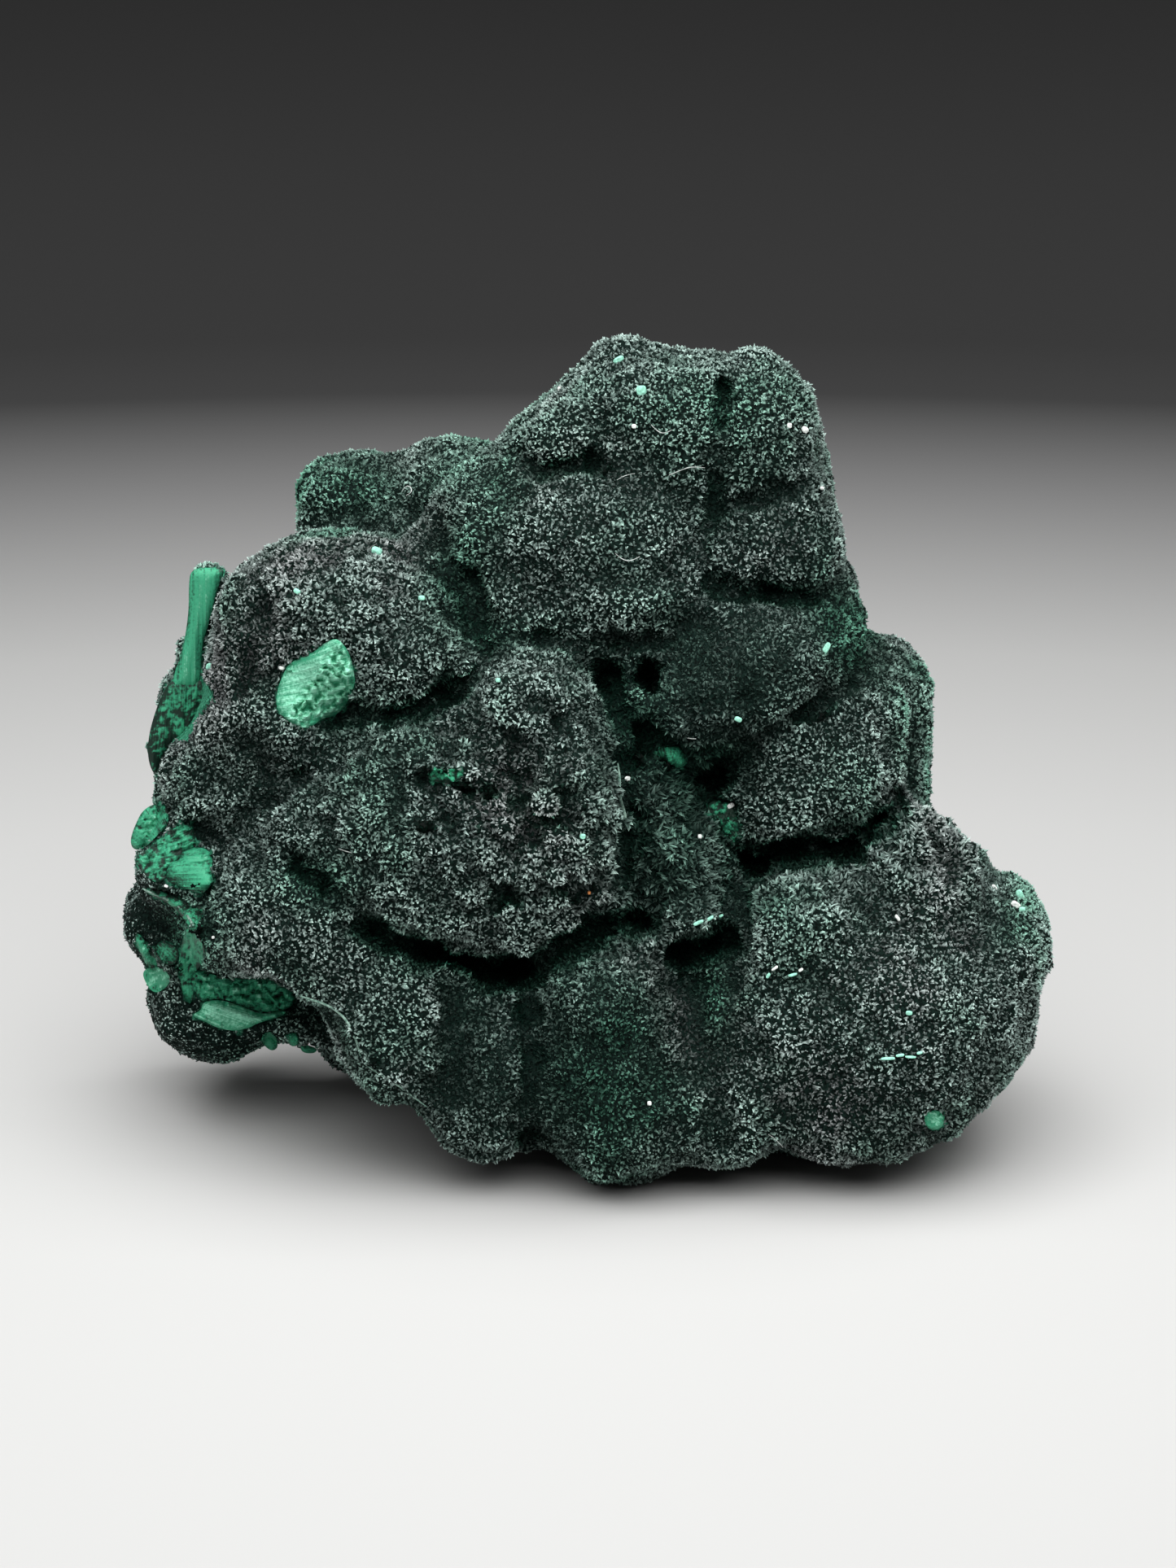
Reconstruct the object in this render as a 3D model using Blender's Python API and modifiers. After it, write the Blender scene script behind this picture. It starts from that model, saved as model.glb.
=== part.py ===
"""The malachite specimen: one botryoidal lump, grown as overlapping lobes with dark crevices between them."""
import math

import bmesh
import bpy
import numpy as np
from mathutils import Matrix, Vector, noise

MM = 0.001

# Driving dimensions, in mm. The lobes were read off the photograph, so the width sets the size of everything.
SPECIMEN_WIDTH = 66.0
GAP_CLOSED = 1.2         # grooves up to about twice this wide have grown shut
GROWTH_GRID = 0.55       # the grid that the lobes grow together on
SKIN_GRID = 0.5          # the grid of the carved skin
SWELLINGS = ((6.0, 0.50), (2.6, 0.30))   # across and high: the rounded swellings of the skin
UNEVENNESS = (4.0, 0.35)                 # the same of the slow waves between them
GRANULES = (2.7, 2.1)                    # the same of the lumps in the broken centre of the front
WARP = (6.0, 1.5)                        # the same of the bend that makes all of these uneven
RAGGED = (1.3, 0.5)      # the same of how crevices stray from their lines
NOISE_SEED = 3           # the bends are the same each time
MIDDLE = (-0.17, 1.89)   # the middle of the specimen's box on the floor
FLOOR_DEPTH = 10.0       # the block that cuts the resting flats
FACETS = 9400            # triangles kept
BACK_SQUARENESS = 2.2    # of the lobes that the photograph doesn't show
BLADE_SQUARENESS = 6.0   # lobes as square as this are blades, whose edges stay crisp

# Where the photograph was taken from: 14 degrees above level, 420 mm away.
CAMERA_RISE = math.radians(14)
CAMERA_AWAY = 420.0
AIMED_AT = (0.2, 0.0, 25.9)
PICTURE_MIDDLE = (722.5, 963.5)
WIDTH_IN_PICTURE = 1138  # pixels, the specimen from its left edge to its right
PIXELS_PER_MM = WIDTH_IN_PICTURE / SPECIMEN_WIDTH

COARSEST_AT = (600, 1000)    # pixels, the middle of the broken, lumpy centre of the front
COARSE_REACH = (190, 130)    # pixels
FRONTAL = (0.25, -1.6)   # how a crevice fades where the skin turns away: this much, plus this times its Y

# Lobes seen from the front. Place in the picture (pixels), depth of the foremost point (mm, - is nearer),
# half width and height (pixels), half depth (mm), lean clockwise (degrees), squareness (2 is an ellipsoid).
FRONT_LOBES = {
    "crown_knob": (770, 482, -2.8, 62, 66, 7, 6, 2.4),
    "crown_slope": (706, 522, -4.6, 108, 50, 7, -37, 2.8),
    "slope_filling": (750, 548, -6.0, 44, 34, 6, -12, 2.2),
    "crown_face": (850, 530, -6.0, 158, 94, 8, 3, 3.0),
    "crown_right": (932, 532, -6.0, 66, 96, 7.5, -8, 2.6),
    "crown_nub": (922, 450, -2.5, 28, 26, 4, 0, 2.0),
    "collar_shoulder": (956, 602, -6.2, 62, 66, 8, -10, 2.7),
    "collar_root": (915, 612, -6.6, 66, 40, 7, -8, 2.3),
    "crown_collar": (952, 661, -7.8, 86, 64, 8, 4, 2.8),
    "collar_foot": (985, 745, -6.5, 70, 70, 8, 10, 2.5),
    "brow": (725, 655, -9.4, 156, 100, 9, -6, 2.2),
    "brow_top": (692, 610, -6.9, 112, 42, 7, -12, 2.4),
    "brow_left": (612, 655, -7.6, 84, 98, 9, -20, 2.3),
    "brow_ridge": (765, 730, -11.0, 104, 58, 8, 0, 2.2),
    "brow_ridge_left": (645, 742, -9.6, 82, 62, 7.5, 12, 2.3),
    "belly": (925, 822, -13.4, 132, 104, 11, -14, 2.3),
    "belly_left": (825, 858, -12.2, 84, 88, 9, 0, 2.4),
    "belly_right": (1002, 785, -9.0, 62, 76, 9, 15, 2.3),
    "neck_right": (880, 720, -9.0, 90, 66, 8, 0, 2.4),
    "left_mound": (440, 756, -13.0, 138, 96, 10, 12, 2.3),
    "left_mound_low": (500, 800, -13.8, 106, 76, 9, 22, 2.4),
    "left_mound_side": (330, 785, -9.6, 72, 104, 8, 8, 2.4),
    "left_cheek": (345, 870, -11.6, 86, 80, 8.5, 0, 2.4),
    "left_cheek_side": (285, 880, -8.0, 52, 80, 7, 0, 2.4),
    "left_saddle": (262, 965, -7.5, 70, 88, 9, 0, 2.4),
    "left_flank": (335, 985, -11.2, 86, 80, 9, 10, 2.4),
    "back_knob": (432, 620, 7.0, 70, 62, 6, -8, 2.7),
    "back_bridge": (550, 590, 3.0, 78, 48, 7, -10, 2.5),
    "back_filling": (505, 625, 3.5, 60, 56, 7, 0, 2.2),
    "centre_crest": (655, 862, -17.6, 78, 66, 8, 8, 2.3),
    "centre_shoulder": (540, 930, -17.2, 134, 62, 8, -8, 2.4),
    "centre_mass": (560, 1010, -19.4, 172, 88, 9.5, 8, 2.5),
    "centre_left": (405, 1010, -15.8, 92, 78, 9, 20, 2.4),
    "centre_chin": (504, 1083, -19.4, 114, 68, 8.5, 12, 2.5),
    "centre_right": (700, 955, -18.8, 68, 84, 9, -8, 2.9),
    "centre_right_low": (694, 1044, -19.6, 64, 52, 8, -14, 2.8),
    "shelf_filling": (630, 1084, -18.4, 50, 32, 7, 0, 2.3),
    "centre_shelf": (645, 1134, -17.8, 74, 38, 7, -14, 2.4),
    "shelf_right": (735, 1108, -15.6, 54, 34, 6.5, -25, 2.4),
    "fan_top": (800, 955, -12.2, 72, 70, 8, 0, 2.4),
    "fan": (835, 1040, -13.4, 84, 122, 9, -20, 2.6),
    "fan_low": (854, 1116, -15.2, 68, 42, 8, -16, 2.7),
    "elbow": (1003, 952, -12.4, 116, 84, 9, -28, 2.4),
    "elbow_top": (1048, 885, -9.0, 76, 54, 8, -25, 2.4),
    "elbow_back": (1084, 885, -2.5, 66, 102, 10, 0, 2.5),
    "elbow_back_low": (1100, 950, -3.0, 38, 50, 8, 0, 2.6),
    "right_mass": (1080, 1235, -20.0, 170, 160, 15, 0, 2.25),
    "right_side": (1190, 1215, -14.5, 84, 128, 13, 12, 2.5),
    "right_horn": (1224, 1152, -12.0, 62, 68, 11, 14, 2.5),
    "right_heel": (1050, 1312, -18.8, 124, 102, 12, -8, 2.5),
    "right_inner": (972, 1240, -19.2, 92, 132, 11, 0, 2.3),
    "right_shoulder": (985, 1122, -17.6, 82, 70, 9, 0, 2.3),
    "right_ledge": (1120, 1072, -13.0, 88, 62, 10, 28, 2.4),
    "ledge_tip": (1104, 1012, -10.5, 46, 24, 6, 10, 2.6),
    "ledge_knob_1": (1092, 996, -9.5, 15, 13, 2, 0, 2.2),
    "ledge_knob_2": (1124, 1006, -9.5, 14, 14, 2, 20, 2.2),
    "ledge_knob_3": (1157, 1022, -9.2, 17, 14, 2, 30, 2.2),
    "ledge_knob_4": (1184, 1046, -9.0, 15, 15, 2, 0, 2.2),
    "ledge_knob_5": (1205, 1070, -9.0, 14, 13, 2, 0, 2.2),
    "base_lobe": (760, 1300, -20.4, 102, 143, 12, -6, 2.4),
    "base_crest": (745, 1202, -20.0, 84, 60, 9, 0, 2.4),
    "base_seam": (880, 1320, -19.4, 92, 98, 10, 0, 2.6),
    "base_seam_top": (880, 1240, -17.6, 84, 66, 10, 0, 2.4),
    "base_left": (605, 1296, -18.8, 88, 116, 10, 5, 2.6),
    "left_apron": (400, 1130, -17.0, 142, 88, 9, 22, 2.5),
    "left_apron_low": (498, 1238, -18.4, 92, 108, 9, -20, 2.5),
    "left_apron_side": (310, 1108, -12.6, 84, 92, 9, 0, 2.5),
    "foot": (266, 1213, -2.0, 90, 79, 10, 18, 2.4),
    "foot_out": (193, 1124, 0.0, 42, 52, 8, -10, 2.2),
    "foot_root": (222, 1130, -4.0, 48, 60, 10, 0, 2.2),
    "foot_in": (378, 1230, -3.0, 90, 40, 9, 4, 2.4),
    "green_cheek": (216, 1050, -7.5, 50, 66, 8, 0, 2.4),
    "slab": (256, 762, 2.6, 22, 66, 3.0, 1, 12.0),
    "slab_mid": (238, 832, 2.6, 27, 86, 3.0, 15, 8.0),
    "slab_root": (224, 892, 3.0, 38, 70, 5, 14, 3.0),
}

# Lobes of the core and of the side away from the camera: middle and half sizes in mm.
BACK_LOBES = {
    "core_top": ((6, 5, 42), (10, 8, 13)),
    "core_mid": ((-1, 5, 31), (19, 10, 13)),
    "core_low": ((4, 3, 13), (23, 13, 11)),
    "core_left": ((-17, 4, 24), (11, 10, 13)),
    "back_crown": ((8, 8, 46), (10, 8, 9)),
    "back_crown_right": ((11, 8, 36), (8, 9, 10)),
    "back_brow": ((-3, 11, 35), (12, 9, 8)),
    "back_knob_root": ((-13, 12, 33), (9, 8, 9)),
    "back_left": ((-14, 11, 26), (12, 9, 8)),
    "back_left_low": ((-19, 8, 19), (9, 8, 8)),
    "back_mid": ((3, 14, 26), (14, 8, 9)),
    "back_right": ((16, 9, 25), (8, 10, 10)),
    "back_right_low": ((22, 7, 12), (9, 10, 10)),
    "back_low": ((8, 16, 13), (13, 8, 11)),
    "back_low_left": ((-9, 16, 11), (10, 8, 8)),
    "back_heel": ((19, 9, 6), (11, 9, 6.6)),
    "back_toe": ((-7, 11, 5), (14, 8, 5.8)),
    "underside": ((5, -2, 7), (21, 11, 6.6)),
    "right_foot": ((18, -3, 6), (9, 8, 6.6)),
}

# Crevices, pits and undercuts: half width (pixels), depth (mm; - is raised), and the line they follow in the
# picture.
CREVICES = {
    "brow_valley": (20, 2.2, [(532, 648), (552, 700), (592, 790)]),
    "mound_valley": (16, 1.4, [(606, 805), (540, 862), (480, 886)]),
    "cheek_valley": (18, 1.6, [(300, 905), (330, 945), (345, 975), (300, 1005), (245, 1022)]),
    "fan_edge": (10, 1.6, [(776, 905), (768, 950), (780, 1010), (770, 1060), (748, 1090)]),
    "chin_valley": (20, 4.0, [(440, 1130), (560, 1180), (650, 1190), (740, 1144), (790, 1132)]),
    "chin_valley_left": (12, 1.2, [(360, 1060), (440, 1128)]),
    "crest_valley": (13, 1.2, [(606, 792), (690, 784), (748, 840), (776, 905), (850, 948)]),
    "elbow_valley": (18, 1.6, [(1070, 815), (985, 878), (930, 912), (880, 950)]),
    "fan_valley": (20, 3.0, [(850, 950), (905, 1040), (914, 1145)]),
    "ledge_valley": (20, 3.6, [(915, 1062), (1000, 1045), (1066, 1026), (1104, 985)]),
    "collar_valley": (16, 0.8, [(870, 714), (985, 735), (1020, 730)]),
    "ridge_valley": (18, 0.8, [(735, 788), (850, 770), (868, 716)]),
    "apron_valley": (22, 1.4, [(556, 1200), (558, 1340)]),
    "base_valley": (18, 0.6, [(652, 1195), (655, 1405)]),
    "seam_valley": (22, 1.6, [(838, 1190), (868, 1290), (888, 1400)]),
    "slope_under": (7, 2.5, [(630, 559), (655, 572), (676, 578), (702, 573), (730, 562)]),
    "slope_under_left": (8, 1.5, [(590, 546), (612, 552), (632, 560)]),
    "crown_groove": (9, 4.5, [(889, 468), (888, 500), (885, 520)]),
    "crown_groove_low": (9, 1.8, [(885, 520), (880, 560), (878, 610)]),
    "scar": (14, 0.8, [(873, 482), (872, 508)]),
    "collar_top": (6, 2.0, [(882, 628), (905, 621), (950, 611), (978, 601), (992, 593)]),
    "collar_left": (10, 1.3, [(874, 635), (866, 670), (868, 700)]),
    "collar_under": (8, 3.0, [(868, 714), (900, 722), (940, 730), (985, 736), (1012, 730)]),
    "mound_brow": (8, 2.0, [(528, 640), (545, 665), (558, 700), (572, 740), (585, 770), (600, 795)]),
    "mound_under": (9, 3.8, [(606, 800), (588, 824), (562, 848), (532, 862), (500, 874), (470, 884)]),
    "mound_pit": (8, 3.6, [(500, 874), (530, 866)]),
    "mound_under_left": (10, 2.0, [(470, 882), (440, 872), (415, 885)]),
    "mound_fold": (12, 1.4, [(320, 740), (310, 790), (305, 840)]),
    "ridge_crest": (8, 1.8, [(600, 797), (640, 786), (690, 788), (722, 815), (742, 845)]),
    "ridge_under": (9, 1.8, [(735, 786), (770, 788), (800, 790), (830, 780), (850, 765)]),
    "pit_left": (9, 4.6, [(746, 830), (750, 840)]),
    "pit_right": (11, 5.5, [(797, 828), (797, 840)]),
    "neck_pit": (8, 2.2, [(879, 618), (880, 630)]),
    "belly_elbow": (8, 3.6, [(1062, 822), (1045, 838), (1020, 860), (985, 878), (955, 892), (930, 912)]),
    "belly_corner": (14, 5.0, [(884, 938), (893, 950), (868, 962)]),
    "belly_corner_left": (11, 3.0, [(785, 900), (810, 912), (850, 935), (865, 955)]),
    "belly_dimple": (9, 1.4, [(915, 856), (922, 858)]),
    "elbow_under": (12, 5.6, [(915, 1062), (935, 1062), (955, 1048), (1000, 1038), (1040, 1044), (1066, 1026),
                              (1086, 1000)]),
    "elbow_pocket": (19, 7.0, [(922, 1058), (938, 1066)]),
    "elbow_facet": (8, 0.8, [(1100, 900), (1098, 950), (1095, 985)]),
    "crest_pocket": (11, 4.0, [(784, 898), (800, 914)]),
    "crest_right": (9, 3.0, [(742, 845), (762, 880), (778, 905)]),
    "fan_left": (7, 2.0, [(772, 905), (762, 950), (772, 1010), (764, 1060), (745, 1088)]),
    "fan_right": (9, 2.8, [(850, 950), (866, 985), (888, 1003), (903, 1030), (908, 1065), (913, 1100),
                           (914, 1145)]),
    "chin_left": (8, 2.4, [(362, 1055), (388, 1084), (412, 1108), (440, 1130)]),
    "chin_under": (11, 6.5, [(445, 1140), (475, 1152), (520, 1166), (570, 1184), (620, 1194), (655, 1190),
                             (690, 1168), (740, 1142), (775, 1130), (795, 1136)]),
    "valley": (15, 7.5, [(565, 1180), (600, 1196), (645, 1192)]),
    "fan_slot": (14, 6.5, [(826, 1174), (855, 1170), (896, 1156)]),
    "shelf_top": (8, 1.0, [(572, 1120), (600, 1106), (640, 1097), (680, 1094), (720, 1092), (745, 1078)]),
    "base_split": (11, 1.4, [(652, 1200), (650, 1250), (652, 1300), (650, 1350), (655, 1405)]),
    "base_seam": (13, 1.8, [(838, 1195), (858, 1240), (868, 1290), (875, 1340), (885, 1390)]),
    "right_seam": (11, 1.0, [(915, 1150), (900, 1220), (890, 1290)]),
    "cheek_low": (10, 2.6, [(240, 1020), (270, 1030), (300, 1000), (325, 990), (345, 975)]),
    "cheek_crack": (8, 2.0, [(310, 900), (318, 930), (335, 955), (372, 958)]),
    "ledge_under": (6, 1.0, [(522, 966), (545, 964), (572, 960)]),
    "ledge_over": (6, -0.5, [(515, 952), (560, 944), (600, 950)]),
    "slab_edge": (6, 1.6, [(270, 700), (262, 760), (258, 820), (262, 860), (240, 885), (232, 910),
                           (205, 945)]),
    "apron_split": (12, 1.1, [(556, 1210), (560, 1250), (556, 1300), (540, 1330)]),
    "cheek_green": (6, 1.2, [(258, 1042), (264, 1080), (240, 1104), (256, 1150)]),
    "shelf_slit": (5, 1.6, [(600, 1118), (630, 1108), (664, 1102)]),
    "shelf_hole": (10, 4.5, [(702, 1094), (714, 1098)]),
    "shelf_crack": (5, 2.0, [(604, 1094), (640, 1096), (690, 1090)]),
    "crest_shade": (16, 1.2, [(650, 872), (690, 884)]),
    "crest_pit": (6, 1.8, [(627, 908), (629, 914)]),
    "cheek_pit": (8, 2.2, [(368, 955), (380, 958)]),
    "plate_edge": (6, 1.2, [(376, 1068), (380, 1052), (392, 1040)]),
    "lump_crack": (6, 1.5, [(660, 1000), (680, 1006), (700, 1012), (706, 1020)]),
    "lump_gap": (6, 1.3, [(700, 975), (698, 992), (705, 1003)]),
    "ledge_shade": (9, 1.6, [(568, 962), (585, 970), (596, 980)]),
    "mass_crack": (5, 1.2, [(510, 1012), (530, 1012), (552, 1008), (556, 992)]),
    "knob_1": (8, -0.7, [(590, 1012), (592, 1014)]),
    "knob_2": (8, -0.6, [(607, 1010), (609, 1012)]),
    "knob_3": (9, -0.6, [(593, 1038), (595, 1041)]),
    "knob_4": (11, -0.9, [(684, 978), (686, 984)]),
    "knob_5": (11, -0.7, [(712, 994), (713, 998)]),
    "knob_6": (14, -0.8, [(755, 985), (757, 1000)]),
    "base_notch": (15, 5.0, [(650, 1396), (652, 1430)]),
    "brow_pocket": (10, 2.4, [(575, 700), (590, 735), (596, 770)]),
    "base_rim": (8, -1.0, [(650, 1194), (700, 1160), (745, 1144), (790, 1149), (824, 1184)]),
    "crest_rim": (8, -0.6, [(600, 812), (650, 800), (700, 806), (728, 845)]),
    "foot_hollow": (16, 2.6, [(190, 1130), (196, 1155), (203, 1180)]),
    "foot_hole": (8, 3.0, [(184, 1133), (204, 1142)]),
    "lip_left": (5, -0.7, [(165, 1060), (180, 1085), (215, 1105), (240, 1140), (248, 1160)]),
    "lip_low": (5, -0.7, [(330, 1200), (365, 1220), (415, 1240), (432, 1265), (442, 1300), (480, 1325),
                          (530, 1358)]),
}


def camera_place():
    return (AIMED_AT[0], AIMED_AT[1] - CAMERA_AWAY * math.cos(CAMERA_RISE),
            AIMED_AT[2] + CAMERA_AWAY * math.sin(CAMERA_RISE))


def from_picture(u, v, y):
    """The point (mm) at depth y that the photograph shows at pixel u, v."""
    away = PIXELS_PER_MM * CAMERA_AWAY
    right, up = (u - PICTURE_MIDDLE[0]) / away, (PICTURE_MIDDLE[1] - v) / away
    eye = camera_place()
    reach = (y - eye[1]) / (math.cos(CAMERA_RISE) + up * math.sin(CAMERA_RISE))
    return Vector((eye[0] + reach * right, y,
                   eye[2] + reach * (up * math.cos(CAMERA_RISE) - math.sin(CAMERA_RISE))))


def to_picture(points):
    """Pixels (n, 2) at which the photograph shows points (n, 3) given in mm."""
    eye = camera_place()
    back, rise = points[:, 1] - eye[1], points[:, 2] - eye[2]
    ahead = back * math.cos(CAMERA_RISE) - rise * math.sin(CAMERA_RISE)
    up = back * math.sin(CAMERA_RISE) + rise * math.cos(CAMERA_RISE)
    away = PIXELS_PER_MM * CAMERA_AWAY / ahead
    return np.stack([PICTURE_MIDDLE[0] + away * (points[:, 0] - eye[0]), PICTURE_MIDDLE[1] - away * up], 1)


def add_lobe(bm, middle, half, lean, squareness):
    """An icosphere drawn out to a rounded, slightly squared lobe."""
    place = Matrix.Translation(middle) @ Matrix.Rotation(math.radians(lean), 4, "Y")
    for vert in bmesh.ops.create_icosphere(bm, subdivisions=4, radius=1)["verts"]:
        reach = sum(abs(c) ** squareness for c in vert.co) ** (-1 / squareness)
        vert.co = place @ Vector([c * reach * h for c, h in zip(vert.co, half)])


def add_front_lobes(bm, blades):
    """The lobes that the photograph shows: either its blades or all the others."""
    for u, v, front, wide, high, deep, lean, squareness in FRONT_LOBES.values():
        if (squareness >= BLADE_SQUARENESS) == blades:
            add_lobe(bm, from_picture(u, v, front + deep), (wide / PIXELS_PER_MM, deep, high / PIXELS_PER_MM),
                     lean, squareness)


def lobes():
    """One mesh that holds every rounded lobe, in mm."""
    bm = bmesh.new()
    add_front_lobes(bm, blades=False)
    for middle, half in BACK_LOBES.values():
        add_lobe(bm, Vector(middle), half, 0, BACK_SQUARENESS)
    mesh = bpy.data.meshes.new("lobes")
    bm.to_mesh(mesh)
    bm.free()
    return mesh


def applied(body):
    """Put the result of the body's modifiers in place of its mesh."""
    mesh = bpy.data.meshes.new_from_object(body.evaluated_get(bpy.context.evaluated_depsgraph_get()))
    body.modifiers.clear()
    body.data = mesh
    return mesh


def fuse(body, grid, smoothing):
    """Grow what the mesh holds together into one closed skin."""
    grown = body.modifiers.new("grown", "REMESH")
    grown.mode = "VOXEL"
    grown.voxel_size = grid
    if smoothing:
        worn = body.modifiers.new("worn", "SMOOTH")
        worn.factor = 0.5
        worn.iterations = smoothing
    return applied(body)


def read(mesh, what):
    values = np.empty(len(mesh.vertices) * 3)
    mesh.vertices.foreach_get(what, values)
    return values.reshape(-1, 3)


def write(mesh, places):
    mesh.vertices.foreach_set("co", places.ravel())
    mesh.update()


def swell(mesh, by):
    write(mesh, read(mesh, "co") + by * read(mesh, "normal"))


def close_gaps(body):
    """Grow narrow grooves shut: the skin swells outwards, and back again. Then the blades are set in."""
    swell(fuse(body, GROWTH_GRID, 0), GAP_CLOSED)
    swell(fuse(body, GROWTH_GRID, 1), -GAP_CLOSED)
    bm = bmesh.new()
    bm.from_mesh(body.data)
    add_front_lobes(bm, blades=True)
    bm.to_mesh(body.data)
    bm.free()
    return fuse(body, GROWTH_GRID, 1)


def distance_to_line(points, line):
    near = np.full(len(points), 1e9)
    for start, end in zip(line, line[1:]):
        start, along = np.array(start, float), np.subtract(end, start).astype(float)
        part = np.clip((points - start) @ along / (along @ along), 0, 1)
        near = np.minimum(near, np.linalg.norm(points - start - part[:, None] * along, axis=1))
    return near


def carve(mesh):
    """Press the crevices and pits into the front of the lump along the line of sight, and raise its rims."""
    places = read(mesh, "co")
    facing = np.clip(FRONTAL[0] + FRONTAL[1] * read(mesh, "normal")[:, 1], 0, 1)
    astray = np.array([noise.noise_vector(Vector(place) / RAGGED[0])[:2] for place in places])
    picture = to_picture(places) + RAGGED[1] * PIXELS_PER_MM * astray
    pressed, raised = np.zeros(len(places)), np.zeros(len(places))
    for half, deep, line in CREVICES.values():
        reached = deep * np.exp(-(distance_to_line(picture, line) / half) ** 2)
        pressed, raised = np.maximum(pressed, reached), np.minimum(raised, reached)
    moved = (pressed + raised) * facing
    places[:, 1] += moved * math.cos(CAMERA_RISE)
    places[:, 2] -= moved * math.sin(CAMERA_RISE)
    write(mesh, places)


def dome(place, across):
    """Height, about -0.5 to 0.5, of rounded domes this far across that meet in creases."""
    return 0.5 - noise.voronoi(place / across)[0][0]


def roughen(mesh):
    """Swellings and hollows over the whole skin, and coarser lumps in the centre of the front."""
    places, normals = read(mesh, "co"), read(mesh, "normal")
    coarse = np.exp(-((to_picture(places) - COARSEST_AT) / COARSE_REACH) ** 2).prod(1) * (normals[:, 1] < 0)
    lift = np.empty(len(places))
    for i, place in enumerate(places):
        place = Vector(place)
        warped = place + WARP[1] * noise.noise_vector(place / WARP[0])
        lift[i] = sum(high * dome(warped, across) for across, high in SWELLINGS)
        lift[i] += UNEVENNESS[1] * noise.noise(place / UNEVENNESS[0])
        lift[i] += coarse[i] * GRANULES[1] * dome(warped, GRANULES[0])
    write(mesh, places + normals * lift[:, None])


def collection(name):
    made = bpy.data.collections.new(name)
    bpy.context.scene.collection.children.link(made)
    return made


def floor_block():
    """What lies under the floor, in mm."""
    bm = bmesh.new()
    bmesh.ops.create_cube(bm, size=1, matrix=Matrix.Translation((0, 0, -FLOOR_DEPTH / 2))
                          @ Matrix.Diagonal((2 * SPECIMEN_WIDTH, 2 * SPECIMEN_WIDTH, FLOOR_DEPTH, 1)))
    mesh = bpy.data.meshes.new("floor_cut")
    bm.to_mesh(mesh)
    bm.free()
    return mesh


noise.seed_set(NOISE_SEED)
for old in list(bpy.data.objects):
    bpy.data.objects.remove(old, do_unlink=True)

shown = collection("malachite specimen")
cutters = collection("cutters")

body = bpy.data.objects.new("malachite", lobes())
shown.objects.link(body)
carve(close_gaps(body))
roughen(fuse(body, SKIN_GRID, 1))

facets = body.modifiers.new("facets", "DECIMATE")
facets.ratio = FACETS / sum(len(face.vertices) - 2 for face in body.data.polygons)
applied(body)

# The lump stands where its lowest lobes touch: what would reach under the floor is cut off flat.
floor_cut = bpy.data.objects.new("floor_cut", floor_block())
floor_cut.display_type = "WIRE"
floor_cut.hide_render = True
cutters.objects.link(floor_cut)
trim = body.modifiers.new("trim", "BOOLEAN")
trim.operation = "DIFFERENCE"
trim.solver = "EXACT"
trim.object = floor_cut
applied(body)

to_middle = Matrix.Scale(MM, 4) @ Matrix.Translation((-MIDDLE[0], -MIDDLE[1], 0))
body.data.transform(to_middle)
floor_cut.data.transform(to_middle)

stone = bpy.data.materials.new("velvet malachite")
stone.use_nodes = True
shader = stone.node_tree.nodes["Principled BSDF"]
shader.inputs["Base Color"].default_value = (0.045, 0.085, 0.07, 1)
shader.inputs["Roughness"].default_value = 0.85
body.data.materials.clear()
body.data.materials.append(stone)
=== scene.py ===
"""The malachite specimen as photographed: one botryoidal lump in a velvet of dark green crystals."""
import math
import random

import bmesh
import bpy
import numpy as np
from mathutils import Matrix, Vector, noise
from mathutils.bvhtree import BVHTree


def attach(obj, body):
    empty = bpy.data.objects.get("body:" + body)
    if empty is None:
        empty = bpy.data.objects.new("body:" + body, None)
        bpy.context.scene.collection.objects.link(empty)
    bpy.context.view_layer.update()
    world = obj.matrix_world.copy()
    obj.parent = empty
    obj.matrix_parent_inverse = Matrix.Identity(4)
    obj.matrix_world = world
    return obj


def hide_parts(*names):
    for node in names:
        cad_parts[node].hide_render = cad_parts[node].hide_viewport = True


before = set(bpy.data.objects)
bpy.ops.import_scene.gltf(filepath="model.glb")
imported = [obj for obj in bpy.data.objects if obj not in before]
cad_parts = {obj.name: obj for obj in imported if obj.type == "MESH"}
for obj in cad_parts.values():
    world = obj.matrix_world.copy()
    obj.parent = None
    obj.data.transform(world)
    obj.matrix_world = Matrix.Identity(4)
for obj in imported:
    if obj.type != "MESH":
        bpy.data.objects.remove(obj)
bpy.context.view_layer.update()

MM = 0.001

# Driving dimensions, in mm. The lobes were read off the photograph, so the width sets the size of all.
SPECIMEN_WIDTH = 66.0
GAP_CLOSED = 1.2         # grooves up to about twice this wide have grown shut
GROWTH_GRID = 0.55       # the grid that the lobes grow together on
SKIN_GRID = 0.32         # the grid of the finished skin
SKIN_TRIANGLES = 180000  # kept on the skin
SWELLINGS = ((6.0, 0.50), (2.6, 0.30))   # across and high: the rounded swellings of the skin
UNEVENNESS = (4.0, 0.35)                 # the same of the slow waves between them
GRANULES = (2.7, 2.1)                    # the same of the lumps in the broken centre of the front
WARP = (6.0, 1.5)                        # the same of the bend that makes all of these uneven
RAGGED = (1.3, 0.5)      # the same of how crevices stray from their lines
NOISE_SEED = 3           # the bends are the same each time
GRAINS = ((0.9, 0.30), (1.9, 0.52))      # the same of the small grains that cover everything
GRAIN_WARP = (1.5, 0.6)                  # the same of the bend that makes the grains uneven
MIDDLE = (-0.17, 1.89)   # the middle of the specimen's box on the floor
BACK_SQUARENESS = 2.2    # of the lobes that the photograph doesn't show
BLADE_SQUARENESS = 6.0   # lobes as square as this are blades, whose edges stay crisp

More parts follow.
